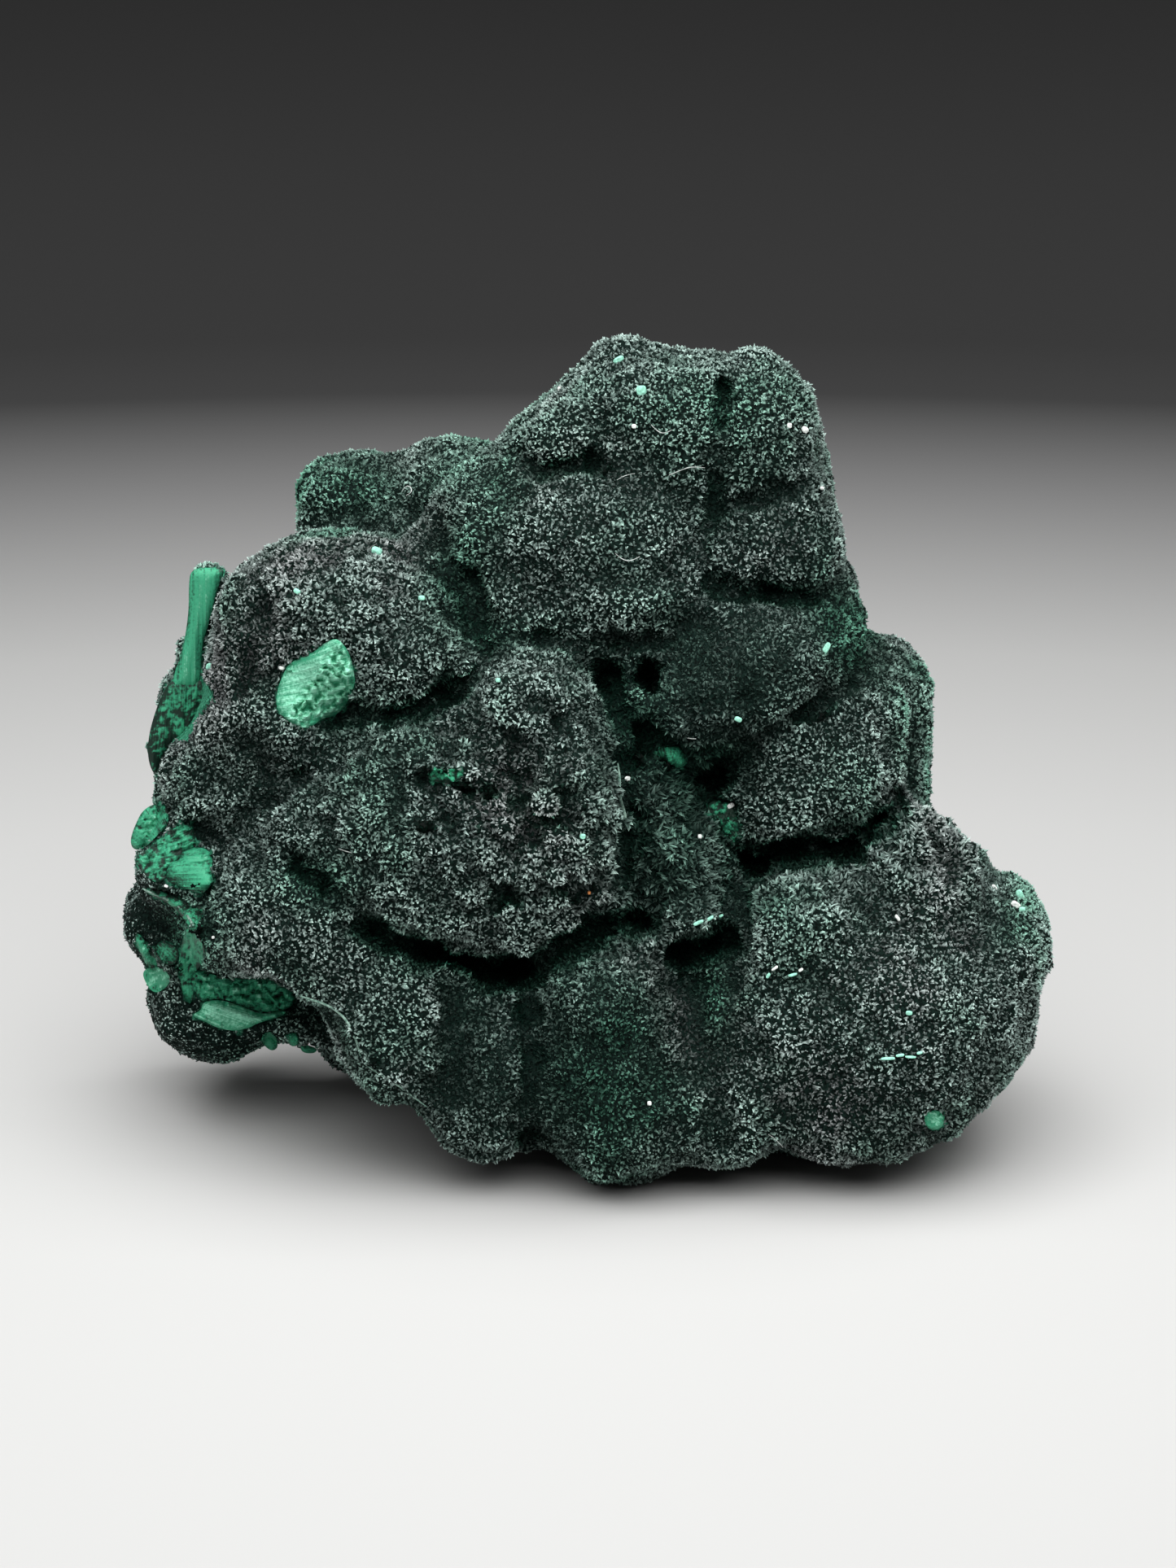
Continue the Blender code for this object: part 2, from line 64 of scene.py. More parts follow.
# Where the photograph was taken from: 14 degrees above level, 420 mm away.
CAMERA_RISE = math.radians(14)
CAMERA_AWAY = 420.0
AIMED_AT = (0.2, 0.0, 25.9)
PICTURE_MIDDLE = (722.5, 963.5)
WIDTH_IN_PICTURE = 1138  # pixels, the specimen from its left edge to its right
PIXELS_PER_MM = WIDTH_IN_PICTURE / SPECIMEN_WIDTH

COARSEST_AT = (600, 1000)    # pixels, the middle of the broken, lumpy centre of the front
COARSE_REACH = (190, 130)    # pixels
FRONTAL = (0.25, -1.6)   # how a crevice fades where the skin turns away: this much, plus this times its Y

# The velvet: crystals as slim three-sided spikes that stand on the skin, in mm.
BANDS = 4                # pieces of velvet, from left to right
CRYSTALS = 48000         # in each piece
MAP_ROWS = 220           # cells along each side of a piece's map, one for each crystal
MAP_MARGIN = 0.08        # of a cell
CRYSTAL_WIDTH = (0.13, 0.22)
CRYSTAL_HEIGHT = (0.14, 0.42)
CRYSTAL_SUNK = 0.10
TUFT_SIZE = 0.24
TUFT_SHARP = (1.5, 0.5)  # how sharply tufts, and groups of them four times as wide, stand out
TUFT_WARP = (0.5, 0.2)   # across and far: the bend that makes them uneven
SWAY_ACROSS = 0.5        # of the groups of crystals that lean together
LEANS = (1.1, 0.5)       # how far crystals lean together, and each on its own
SHORTEST = 0.6           # of the full height: the shortest crystals of a tuft
FLOOR_SHARE = 0.9        # of the way to the floor: how far a crystal that points down may reach
LOWEST = 0.01            # of all crystals, above the floor
VELVET_DEPTH = 0.22      # from the skin to most tips
TONE = 0.322             # how light the middle one of the crystals is
TONE_SPREAD = 0.34       # of the crystals' tones
TONE_WAVES = ((0.6, 1.8), (0.4, 6))   # how strong and how wide (mm) the waves of their tone are
TUFT_PAINTED_SHADE = 0.6         # painted shade: how much lighter the middle of a tuft is than the gaps, which are painted darker
CRACK_PAINTED_SHADE = 3.2         # painted shade and light: how fast the velvet darkens with the depth (mm) of the cracks between the grains, and lightens on them
HOLLOW_PAINTED_SHADE = 1.6        # painted shade: how fast the velvet darkens with the share of the sky that is hidden
CRACK_ROUNDS = 10        # of smoothing, to find that depth
SKY_REACH = 9.0          # mm, how far away stone still hides the sky
SKY_RAYS = 14            # sent from each point
RAY_START = 0.15         # mm above the skin
SKY_SEED, VELVET_SEED = 7, 11
FLOOR_GAP = (0.3, 1.2)   # above the floor: no crystals under the first height, full velvet over the second

# Where the front is coarser than elsewhere: middle and reach (pixels), how much higher the grains stand
# there, and how much longer the crystals are. Each of these three tables counts only where the skin's
# normal has less Y than FACING says.
FACING = {"coarse": 0.1, "patch": 0.3, "striped": 0.1}
COARSE_PLACES = (
    ((600, 1000), (190, 130), 1.4, 0.2),
    ((1135, 1030), (90, 50), 2.2, 0.6),
    ((820, 1020), (60, 110), 1.4, 1.0),
    ((420, 770), (160, 90), 0.8, 0.2),
    ((1000, 1090), (90, 40), 0.8, 0.5),
    ((250, 1270), (110, 50), -0.3, -0.6),
    ((175, 1130), (35, 70), -0.5, -0.7),
)

# Where the velvet of the front is lighter, darker or greener, partly its own tone and partly painted light
# and
# shade: middle and reach (pixels), how much lighter (1 is 2.7 times), how green (0 to 1); the green is its
# own.
PATCHES_AND_PAINTED_LIGHT = (
    ((850, 500), (150, 70), 0.45, 0.2),
    ((960, 660), (70, 110), -0.50, 0.1),
    ((640, 490), (90, 70), 0.15, 0.0),
    ((1010, 1080), (70, 40), -0.25, 0.1),
    ((440, 1130), (70, 70), 0.25, 0.0),
    ((640, 1130), (100, 60), 0.35, 0.0),
    ((430, 600), (80, 50), -0.30, 0.9),
    ((565, 580), (60, 45), 0.10, 0.6),
    ((560, 710), (45, 90), -0.15, 0.8),
    ((440, 740), (130, 80), 0.20, 0.0),
    # The belly: partly its own darker green, partly painted shade under the brow ridge.
    ((920, 840), (110, 80), -1.45, 0.4),
    ((880, 930), (60, 50), -0.90, 0.5),
    ((1040, 785), (40, 60), -0.20, 1.0),
    # The elbow: painted light on its top.
    ((1010, 935), (110, 65), 0.65, 0.1),
    ((1130, 880), (35, 90), 0.10, 0.5),
    ((825, 1040), (75, 120), -0.85, 0.6),
    ((790, 870), (50, 60), -0.20, 0.8),
    # The base lobes: painted shade low on the lump.
    ((740, 1330), (110, 120), -1.00, 0.6),
    ((600, 1320), (70, 100), -1.15, 0.3),
    ((878, 1225), (28, 70), 0.10, 1.0),
    ((480, 1255), (70, 90), 0.28, 0.0),
    ((1100, 1190), (130, 90), 0.15, 0.0),
    ((1260, 1105), (30, 40), 0.40, 0.6),
    ((240, 1150), (45, 70), 0.00, 0.9),
    ((390, 1085), (60, 40), -0.20, 0.9),
    ((300, 945), (45, 55), -0.40, 0.3),
    ((250, 1275), (100, 42), -0.15, 0.0),
    ((1130, 1360), (110, 60), -0.35, 0.0),
    ((330, 800), (60, 90), -0.25, 0.0),
    ((325, 940), (28, 60), -0.60, 0.1),
    ((600, 780), (60, 25), -0.40, 0.8),
    ((172, 1120), (28, 50), -0.35, 0.0),
    ((790, 930), (60, 50), -0.60, 0.5),
    ((520, 860), (90, 40), -0.05, 0.1),
)

# Where the velvet of the front is streaked: middle and reach (pixels), the streaks' way down to the right
# (degrees), how strong they are.
STRIPED = (
    ((1085, 1235), (150, 150), 2, 1.3),
    ((830, 1030), (70, 120), 52, 1.6),
    ((700, 1010), (60, 60), 60, 0.8),
    ((230, 1200), (40, 90), 75, 1.2),
)
STREAK = (42, 7)         # pixels, how long and how wide the streaks are
FAINTEST = 0.02          # strength under which a streak is left out

# Faces where the stone is broken and its green shows. How far they stand out (mm); the point that their
# fibres come from (pixels); height of the fibres and of the grains (mm); the line behind which the grains
# begin (a direction and a distance in pixels); how pale they are; the depth (mm) of those that stand free;
# their outline (pixels).
NO_GRAINS, ALL_GRAINS = (0, 1, 9999), (0, 1, 0)
BROKEN = {
    "scar": (0.9, (120, 900), 0.05, 0.75, (0.8, 0.6, 800), 1.3, None, (
        (357, 813), (384, 803), (397, 791), (412, 784), (421, 790), (431, 806), (435, 826), (437, 840),
        (429, 856), (425, 868), (411, 880), (396, 883), (386, 891), (374, 896), (362, 892), (350, 883),
        (341, 874), (339, 860), (342, 844), (348, 828))),
    "slab": (0.5, (252, 300), 0.1, 0.08, NO_GRAINS, 0.42, 2.5, (
        (234, 703), (243, 698), (262, 698), (278, 700), (270, 714), (264, 735), (258, 762), (250, 785),
        (247, 812), (248, 838), (236, 850), (222, 846), (208, 850), (213, 832), (221, 808), (227, 786),
        (232, 750), (232, 718))),
    "slab_low": (0.45, (252, 300), 0.1, 0.03, (0, 1, 840), -0.42, 2.5, (
        (208, 838), (222, 832), (238, 836), (250, 832), (264, 857), (248, 874), (240, 890), (231, 914),
        (218, 908), (206, 918), (196, 934), (192, 955), (184, 942), (181, 922), (184, 898), (191, 874),
        (198, 856))),
    "cheek_top": (0.7, (250, 1100), 0.1, 0.4, (0.7, -0.7, -604), 0.3, None, (
        (160, 1034), (163, 1022), (168, 1010), (174, 998), (184, 990), (196, 987), (203, 991),
        (207, 1001), (207, 1012), (200, 1020), (190, 1030), (180, 1040), (171, 1045), (163, 1043))),
    "cheek_dull": (0.5, (110, 1075), 0.08, 0.36, ALL_GRAINS, -0.06, None, (
        (169, 1052), (182, 1044), (194, 1032), (207, 1022), (222, 1013), (236, 1014), (238, 1026),
        (242, 1037), (235, 1043), (224, 1048), (220, 1058), (208, 1064), (204, 1080), (192, 1085),
        (182, 1079), (172, 1068), (165, 1058))),
    "cheek_bright": (1.1, (60, 1085), 0.14, 0.2, (0.9, -0.4, -205), 0.24, None, (
        (222, 1048), (232, 1042), (246, 1041), (258, 1046), (262, 1058), (259, 1070), (263, 1082),
        (258, 1090), (249, 1099), (238, 1096), (222, 1090), (208, 1085), (203, 1076), (205, 1064),
        (212, 1057), (221, 1057))),
    "cheek_strip": (0.3, (120, 1060), 0.08, 0.2, ALL_GRAINS, -0.1, None, (
        (178, 1096), (186, 1092), (200, 1096), (216, 1102), (230, 1110), (238, 1118), (246, 1112),
        (250, 1120), (244, 1134), (240, 1148), (232, 1138), (222, 1124), (210, 1112), (194, 1104))),
    "foot_band": (0.4, (230, 1060), 0.08, 0.44, ALL_GRAINS, 0.16, None, (
        (232, 1136), (244, 1152), (252, 1166), (250, 1182), (240, 1194), (236, 1206), (238, 1222),
        (234, 1236), (226, 1226), (222, 1206), (219, 1186), (222, 1166), (226, 1150))),
    "foot_crescent": (1.0, (140, 1200), 0.08, 0.24, (0, -1, -1246), 1.3, None, (
        (249, 1232), (262, 1229), (276, 1230), (288, 1234), (302, 1239), (316, 1245), (330, 1246),
        (345, 1242), (353, 1243), (345, 1250), (332, 1253), (318, 1257), (306, 1263), (290, 1267),
        (274, 1265), (262, 1261), (252, 1255), (240, 1251), (237, 1246), (247, 1242))),
    "foot_grains": (0.5, (140, 1180), 0.05, 0.6, ALL_GRAINS, 0.46, None, (
        (238, 1216), (234, 1200), (244, 1190), (262, 1198), (276, 1203), (300, 1201), (326, 1201),
        (342, 1209), (358, 1218), (364, 1226), (358, 1238), (346, 1242), (330, 1244), (314, 1242),
        (300, 1236), (286, 1231), (270, 1227), (254, 1229), (246, 1226))),
    "hollow_fibres": (0.3, (175, 1140), 0.1, 0.02, NO_GRAINS, -0.25, None, (
        (190, 1164), (198, 1158), (210, 1160), (219, 1166), (219, 1178), (213, 1187), (201, 1185),
        (191, 1176))),
    "foot_mint": (0.3, (185, 1150), 0.05, 0.12, ALL_GRAINS, 0.85, None, (
        (174, 1196), (182, 1189), (196, 1188), (206, 1196), (210, 1204), (204, 1214), (192, 1221),
        (182, 1214))),
    "foot_rim": (0.3, (150, 1100), 0.1, 0.06, ALL_GRAINS, 0.34, None, (
        (166, 1146), (174, 1150), (184, 1166), (193, 1181), (192, 1190), (181, 1189), (173, 1172),
        (167, 1158))),
    "fan_left": (0.6, (318, 1262), 0.1, 0.02, NO_GRAINS, 0.36, None, (
        (320, 1276), (326, 1269), (334, 1268), (340, 1276), (342, 1287), (335, 1292), (326, 1287))),
    "fan_middle": (0.6, (350, 1262), 0.1, 0.02, NO_GRAINS, 0.32, None, (
        (352, 1272), (360, 1268), (367, 1274), (366, 1284), (357, 1287))),
    "fan_right": (0.5, (360, 1270), 0.08, 0.04, NO_GRAINS, 0.32, None, (
        (368, 1286), (378, 1284), (391, 1289), (386, 1295), (372, 1294))),
    "nub": (1.2, (822, 950), 0.14, 0.05, NO_GRAINS, 0.04, None, (
        (806, 922), (814, 917), (828, 915), (837, 921), (843, 931), (843, 939), (836, 945), (828, 942),
        (818, 935), (809, 931))),
    "valley_green": (0.6, (850, 950), 0.1, 0.26, ALL_GRAINS, -0.3, None, (
        (868, 990), (876, 984), (886, 984), (897, 987), (901, 996), (907, 1008), (908, 1028),
        (901, 1034), (890, 1024), (884, 1012), (874, 1002))),
    "ledge_green": (0.2, (500, 900), 0.06, 0.34, ALL_GRAINS, 0.08, None, (
        (524, 950), (534, 944), (548, 946), (560, 944), (571, 950), (565, 957), (552, 963), (536, 961),
        (526, 957))),
    "chip": (0.5, (1100, 1340), 0.06, 0.14, ALL_GRAINS, 1.0, None, (
        (1137, 1368), (1150, 1363), (1160, 1370), (1160, 1382), (1151, 1389), (1140, 1387), (1135, 1377))),
}
SHEET_STEP = 2.6         # pixels between the lines of a broken face
FIRST_LINE = 0.6         # of that step: the first line from its outline
CORNER_CUTS = 2          # times that the corners of its outline are cut
FACE_SUNK = 1.6          # mm that a broken face reaches into the stone
EDGE_RISE = 0.3          # mm over which a broken face rises at its outline
PRESSED_UNDER = 0.5      # mm that the skin lies back under a broken face
BARE_FACING = 0.15       # no velvet grows under a broken face where the skin's normal has less Y than this
FACE_CLEAR = 0.2         # mm between the skin and the front of a broken face, at least
FACE_BEND = 1.2          # mm that a broken face bends back from its middle, at most
FACE_TAPER = 0.85        # of a broken face's size: its back inside the stone
FIT_ROUNDS, FIT_WITHIN = 3, 1.0   # times that its bend is fitted, to skin within this many mm of it
HANGS_OVER = 1.5         # mm that it may lie in front of the skin before it stops following it
FAR = 99                 # mm, behind everything
RIDGES = (4.5, 60)       # pixels across and along a ridge of fibres
GRAINS_BEGIN = 14        # pixels over which the grains set in behind their line
FACE_GRAINS = (0.9, 0.5, 0.3)     # strength of its grains, across the large ones and the small ones (mm)
FACE_WARP = (0.6, 0.25)  # across and far: the bend that makes them uneven (mm)
LIGHT_ON_FACE = (0.5, 0.9, 0.5, 0.4)   # everywhere, more on grains, more on ridges, less at the outline
WALL_HILL = 0.35         # the same at its back
WALL_RUN = 600           # pixels that its fibres seem to run from its front to its back

# Thin pale lips of shell and stray hairs of lint: half thickness and how far they stand out (mm), and their
# line (pixels).
STRANDS = {
    "shell_lips": (
        (0.1, 0.2, (
            (175, 1092), (184, 1097), (196, 1101), (216, 1110), (230, 1124), (240, 1142), (247, 1158))),
        (0.12, 0.25, ((274, 1184), (277, 1192), (282, 1200), (288, 1205))),
        (0.16, 0.3, ((331, 1203), (338, 1208), (348, 1213), (358, 1219))),
        (0.09, 0.12, (
            (368, 1224), (388, 1230), (406, 1237), (420, 1247), (431, 1262), (438, 1278), (443, 1298))),
        (0.07, 0.1, ((446, 1306), (462, 1318), (484, 1330), (505, 1346), (524, 1360))),
        (0.12, 0.3, ((759, 938), (762, 956), (760, 975), (765, 992), (770, 1008), (765, 1022))),
    ),
    "lint": (
        (0.035, 0.5, ((494, 604), (498, 597), (505, 598), (506, 606), (499, 609))),
        (0.03, 0.5, ((800, 522), (808, 531), (818, 533), (826, 528))),
        (0.03, 0.5, ((822, 584), (838, 577), (852, 573), (866, 575))),
        (0.03, 0.5, ((758, 590), (768, 583), (780, 582))),
        (0.03, 0.5, ((756, 680), (764, 688), (776, 690), (786, 684))),
        (0.03, 0.5, ((944, 1394), (954, 1400), (962, 1410))),
        (0.04, 0.4, ((416, 1043), (424, 1046), (432, 1048))),
        (0.05, 0.4, ((845, 907), (850, 908), (855, 908))),
    ),
}
STRAND_DIP = 0.5         # mm that a lip or hair lies behind its middle, at most
STRAND_END = 0.5         # of its thickness: what is left at its ends

# Loose grains: place, width and height (pixels), lean (degrees), and which of the tints they have.
FLECKS = (
    (760, 442, 14, 7, -30, "mint"), (788, 480, 12, 12, 0, "mint"), (463, 677, 13, 9, 20, "mint"),
    (518, 735, 8, 6, 0, "mint"), (716, 1028, 7, 6, 0, "mint"), (858, 1134, 13, 4, -25, "mint"),
    (872, 1129, 11, 4, -35, "mint"), (885, 1126, 8, 3, -25, "mint"), (944, 1199, 4, 7, 30, "mint"),
    (952, 1190, 9, 3, -35, "white"), (974, 1198, 11, 3, -15, "mint"), (984, 1192, 6, 3, -30, "white"),
    (1117, 1245, 8, 5, 0, "mint"), (1091, 1301, 17, 3, -3, "mint"), (1106, 1297, 10, 3, -9, "mint"),
    (1119, 1299, 13, 2.5, 3, "mint"), (1130, 1294, 7, 3, -12, "mint"), (1015, 797, 16, 7, -60, "mint"),
    (907, 884, 9, 6, 20, "mint"),
    (258, 820, 10, 9, 30, "mint"), (688, 478, 6, 6, 0, "white"), (779, 524, 6, 5, 0, "white"),
    (970, 523, 6, 6, 0, "white"), (989, 528, 9, 7, 40, "white"), (798, 1356, 5, 5, 0, "white"),
    (724, 1097, 4, 4, 0, "orange"), (1253, 1100, 9, 14, -20, "mint"), (1248, 1112, 12, 8, 30, "white"),
    (1256, 1118, 8, 7, 0, "mint"), (1222, 1091, 9, 5, 55, "white"), (1103, 1128, 9, 4, 55, "white"),
    (365, 727, 9, 6, 35, "mint"), (346, 821, 7, 4, 15, "white"), (771, 957, 7, 6, 0, "white"),
    (860, 1028, 5, 5, 0, "white"), (898, 990, 9, 6, -30, "white"), (204, 1089, 5, 3, 30, "white"),
    (1010, 600, 5, 4, 0, "white"), (612, 836, 6, 5, 0, "mint"), (262, 1152, 4, 3, 0, "white"),
)
FLECK_TINTS = {
    "mint": (0.36, 0.80, 0.62, 1),
    "white": (0.85, 0.90, 0.86, 1),
    "orange": (0.62, 0.24, 0.08, 1),
}
FLECK_SHADE = 0.6        # of a tint: its darker places
FLECK_THICK = 0.16       # mm, half the thickness of a loose grain
FLECK_STANDS = 0.3       # mm from the skin to its middle
FLECK_SQUARENESS = 3.0
FLECK_WARP = (0.12, 6)   # how far it is bent, as a share of its size, and bends per mm

# Colours, each from its darkest places to its lightest.
GREY_VELVET = (0.0010, 0.0058, 0.0044, 1), (0.570, 0.750, 0.690, 1)
GREEN_VELVET = (0.0005, 0.0085, 0.0050, 1), (0.220, 0.560, 0.400, 1)
BROWN_VELVET = (0.0026, 0.0048, 0.0046, 1), (0.590, 0.640, 0.630, 1)
# Near black velvet for the deepest hollows: painted shade.
VELVET_IN_PAINTED_SHADE = (0.0003, 0.0016, 0.0010, 1), (0.030, 0.200, 0.125, 1)
# The skin between the crystals is painted near black, painted shade; greener and darker in the hollows.
SKIN_IN_PAINTED_SHADE = (0.0004, 0.0020, 0.0014, 1), (0.0050, 0.0145, 0.0112, 1)
GREEN_SKIN_IN_PAINTED_SHADE = (0.0003, 0.0020, 0.0012, 1), (0.0020, 0.0130, 0.0080, 1)
BROKEN_SKIN = (0.0100, 0.0900, 0.0500, 1), (0.070, 0.330, 0.200, 1)
FACE_CRACKS = (0.0008, 0.0150, 0.0078, 1), (0.034, 0.315, 0.168, 1)
FACE_TOPS = (0.042, 0.285, 0.158, 1), (0.350, 0.830, 0.600, 1)
SHELL = (0.060, 0.130, 0.100, 1), (0.240, 0.360, 0.300, 1)
LINT = (0.300, 0.330, 0.310, 1), (0.620, 0.660, 0.640, 1)

# Patterns on the stone: how fine they are (per metre, or per step of the fibres), detail, roughness.
FINE_GRAIN = (5200.0, 2.0, 0.6)
MOTTLES = (4200.0, 2.0, 0.6)
BROWN_SPOTS = (70.0, 2.0, 0.5)
GREEN_SPOTS = (110.0, 3.0, 0.6)
STREAKS = (1.0, 3.0, 0.65)
ALONG_FIBRE, ACROSS_FIBRE = 0.012, 0.55   # steps per pixel
BUMP = 0.0001            # metres, the relief of the skin's grain
FACE_BUMP = 0.00006      # the same of the broken faces
MOTTLE_BUMP = 0.00003    # the same of lips, lint and loose grains

# The studio, in metres. The paper carries a painted pool of light: its tones go by the distance from its
# middle, times TONES_PER_METRE, painted darker further out.
PAPER_RADIUS, PAPER_SIDES = 3.0, 96
TONES_PER_METRE = 2.0
PAINTED_LIGHT_POOL = [
    (0.00, (0.395, 0.395, 0.390, 1)), (0.08, (0.430, 0.430, 0.424, 1)), (0.19, (0.390, 0.390, 0.385, 1)),
    (0.32, (0.315, 0.315, 0.311, 1)), (0.48, (0.143, 0.143, 0.143, 1)), (0.60, (0.0180, 0.0180, 0.0181, 1)),
    (0.68, (0.0098, 0.0098, 0.0098, 1)), (1.00, (0.0130, 0.0130, 0.0130, 1)),
]
LAMPS = {                # place, size, watts
    "softbox": ((0.0, -0.19, 0.50), 0.9, 10.0),
    "front fill": ((0.08, -0.50, 0.50), 0.4, 1.2),
}
LAMPS_AIM = (0, 0, 0.03)
AIR_LIGHT = 0.13         # strength of the light from all around
SENSOR_WIDTH = 36        # mm
PICTURE_HEIGHT = 1927    # pixels
NEAREST_SEEN = 0.01

# Lobes seen from the front. Place in the picture (pixels), depth of the foremost point (mm, - is nearer),
# half width and height (pixels), half depth (mm), lean clockwise (degrees), squareness (2 is an ellipsoid).
FRONT_LOBES = {
    "crown_knob": (770, 482, -2.8, 62, 66, 7, 6, 2.4),
    "crown_slope": (706, 522, -4.6, 108, 50, 7, -37, 2.8),
    "slope_filling": (750, 548, -6.0, 44, 34, 6, -12, 2.2),
    "crown_face": (850, 530, -6.0, 158, 94, 8, 3, 3.0),
    "crown_right": (932, 532, -6.0, 66, 96, 7.5, -8, 2.6),
    "crown_nub": (922, 450, -2.5, 28, 26, 4, 0, 2.0),
    "collar_shoulder": (956, 602, -6.2, 62, 66, 8, -10, 2.7),
    "collar_root": (915, 612, -6.6, 66, 40, 7, -8, 2.3),
    "crown_collar": (952, 661, -7.8, 86, 64, 8, 4, 2.8),
    "collar_foot": (985, 745, -6.5, 70, 70, 8, 10, 2.5),
    "brow": (725, 655, -9.4, 156, 100, 9, -6, 2.2),
    "brow_top": (692, 610, -6.9, 112, 42, 7, -12, 2.4),
    "brow_left": (612, 655, -7.6, 84, 98, 9, -20, 2.3),
    "brow_ridge": (765, 730, -11.0, 104, 58, 8, 0, 2.2),
    "brow_ridge_left": (645, 742, -9.6, 82, 62, 7.5, 12, 2.3),
    "belly": (925, 822, -13.4, 132, 104, 11, -14, 2.3),
    "belly_left": (825, 858, -12.2, 84, 88, 9, 0, 2.4),
    "belly_right": (1002, 785, -9.0, 62, 76, 9, 15, 2.3),
    "neck_right": (880, 720, -9.0, 90, 66, 8, 0, 2.4),
    "left_mound": (440, 756, -13.0, 138, 96, 10, 12, 2.3),
    "left_mound_low": (500, 800, -13.8, 106, 76, 9, 22, 2.4),
    "left_mound_side": (330, 785, -9.6, 72, 104, 8, 8, 2.4),
    "left_cheek": (345, 870, -11.6, 86, 80, 8.5, 0, 2.4),
    "left_cheek_side": (285, 880, -8.0, 52, 80, 7, 0, 2.4),
    "left_saddle": (262, 965, -7.5, 70, 88, 9, 0, 2.4),
    "left_flank": (335, 985, -11.2, 86, 80, 9, 10, 2.4),
    "back_knob": (432, 620, 7.0, 70, 62, 6, -8, 2.7),
    "back_bridge": (550, 590, 3.0, 78, 48, 7, -10, 2.5),
    "back_filling": (505, 625, 3.5, 60, 56, 7, 0, 2.2),
    "centre_crest": (655, 862, -17.6, 78, 66, 8, 8, 2.3),
    "centre_shoulder": (540, 930, -17.2, 134, 62, 8, -8, 2.4),
    "centre_mass": (560, 1010, -19.4, 172, 88, 9.5, 8, 2.5),
    "centre_left": (405, 1010, -15.8, 92, 78, 9, 20, 2.4),
    "centre_chin": (504, 1083, -19.4, 114, 68, 8.5, 12, 2.5),
    "centre_right": (700, 955, -18.8, 68, 84, 9, -8, 2.9),
    "centre_right_low": (694, 1044, -19.6, 64, 52, 8, -14, 2.8),
    "shelf_filling": (630, 1084, -18.4, 50, 32, 7, 0, 2.3),
    "centre_shelf": (645, 1134, -17.8, 74, 38, 7, -14, 2.4),
    "shelf_right": (735, 1108, -15.6, 54, 34, 6.5, -25, 2.4),
    "fan_top": (800, 955, -12.2, 72, 70, 8, 0, 2.4),
    "fan": (835, 1040, -13.4, 84, 122, 9, -20, 2.6),
    "fan_low": (854, 1116, -15.2, 68, 42, 8, -16, 2.7),
    "elbow": (1003, 952, -12.4, 116, 84, 9, -28, 2.4),
    "elbow_top": (1048, 885, -9.0, 76, 54, 8, -25, 2.4),
    "elbow_back": (1084, 885, -2.5, 66, 102, 10, 0, 2.5),
    "elbow_back_low": (1100, 950, -3.0, 38, 50, 8, 0, 2.6),
    "right_mass": (1080, 1235, -20.0, 170, 160, 15, 0, 2.25),
    "right_side": (1190, 1215, -14.5, 84, 128, 13, 12, 2.5),
    "right_horn": (1224, 1152, -12.0, 62, 68, 11, 14, 2.5),
    "right_heel": (1050, 1312, -18.8, 124, 102, 12, -8, 2.5),
    "right_inner": (972, 1240, -19.2, 92, 132, 11, 0, 2.3),
    "right_shoulder": (985, 1122, -17.6, 82, 70, 9, 0, 2.3),
    "right_ledge": (1120, 1072, -13.0, 88, 62, 10, 28, 2.4),
    "ledge_tip": (1104, 1012, -10.5, 46, 24, 6, 10, 2.6),
    "ledge_knob_1": (1092, 996, -9.5, 15, 13, 2, 0, 2.2),
    "ledge_knob_2": (1124, 1006, -9.5, 14, 14, 2, 20, 2.2),
    "ledge_knob_3": (1157, 1022, -9.2, 17, 14, 2, 30, 2.2),
    "ledge_knob_4": (1184, 1046, -9.0, 15, 15, 2, 0, 2.2),
    "ledge_knob_5": (1205, 1070, -9.0, 14, 13, 2, 0, 2.2),
    "base_lobe": (760, 1300, -20.4, 102, 143, 12, -6, 2.4),
    "base_crest": (745, 1202, -20.0, 84, 60, 9, 0, 2.4),
    "base_seam": (880, 1320, -19.4, 92, 98, 10, 0, 2.6),
    "base_seam_top": (880, 1240, -17.6, 84, 66, 10, 0, 2.4),
    "base_left": (605, 1296, -18.8, 88, 116, 10, 5, 2.6),
    "left_apron": (400, 1130, -17.0, 142, 88, 9, 22, 2.5),
    "left_apron_low": (498, 1238, -18.4, 92, 108, 9, -20, 2.5),
    "left_apron_side": (310, 1108, -12.6, 84, 92, 9, 0, 2.5),
    "foot": (266, 1213, -2.0, 90, 79, 10, 18, 2.4),
    "foot_out": (193, 1124, 0.0, 42, 52, 8, -10, 2.2),
    "foot_root": (222, 1130, -4.0, 48, 60, 10, 0, 2.2),
    "foot_in": (378, 1230, -3.0, 90, 40, 9, 4, 2.4),
    "green_cheek": (216, 1050, -7.5, 50, 66, 8, 0, 2.4),
    "slab": (256, 762, 2.6, 22, 66, 3.0, 1, 12.0),
    "slab_mid": (238, 832, 2.6, 27, 86, 3.0, 15, 8.0),
    "slab_root": (224, 892, 3.0, 38, 70, 5, 14, 3.0),
}

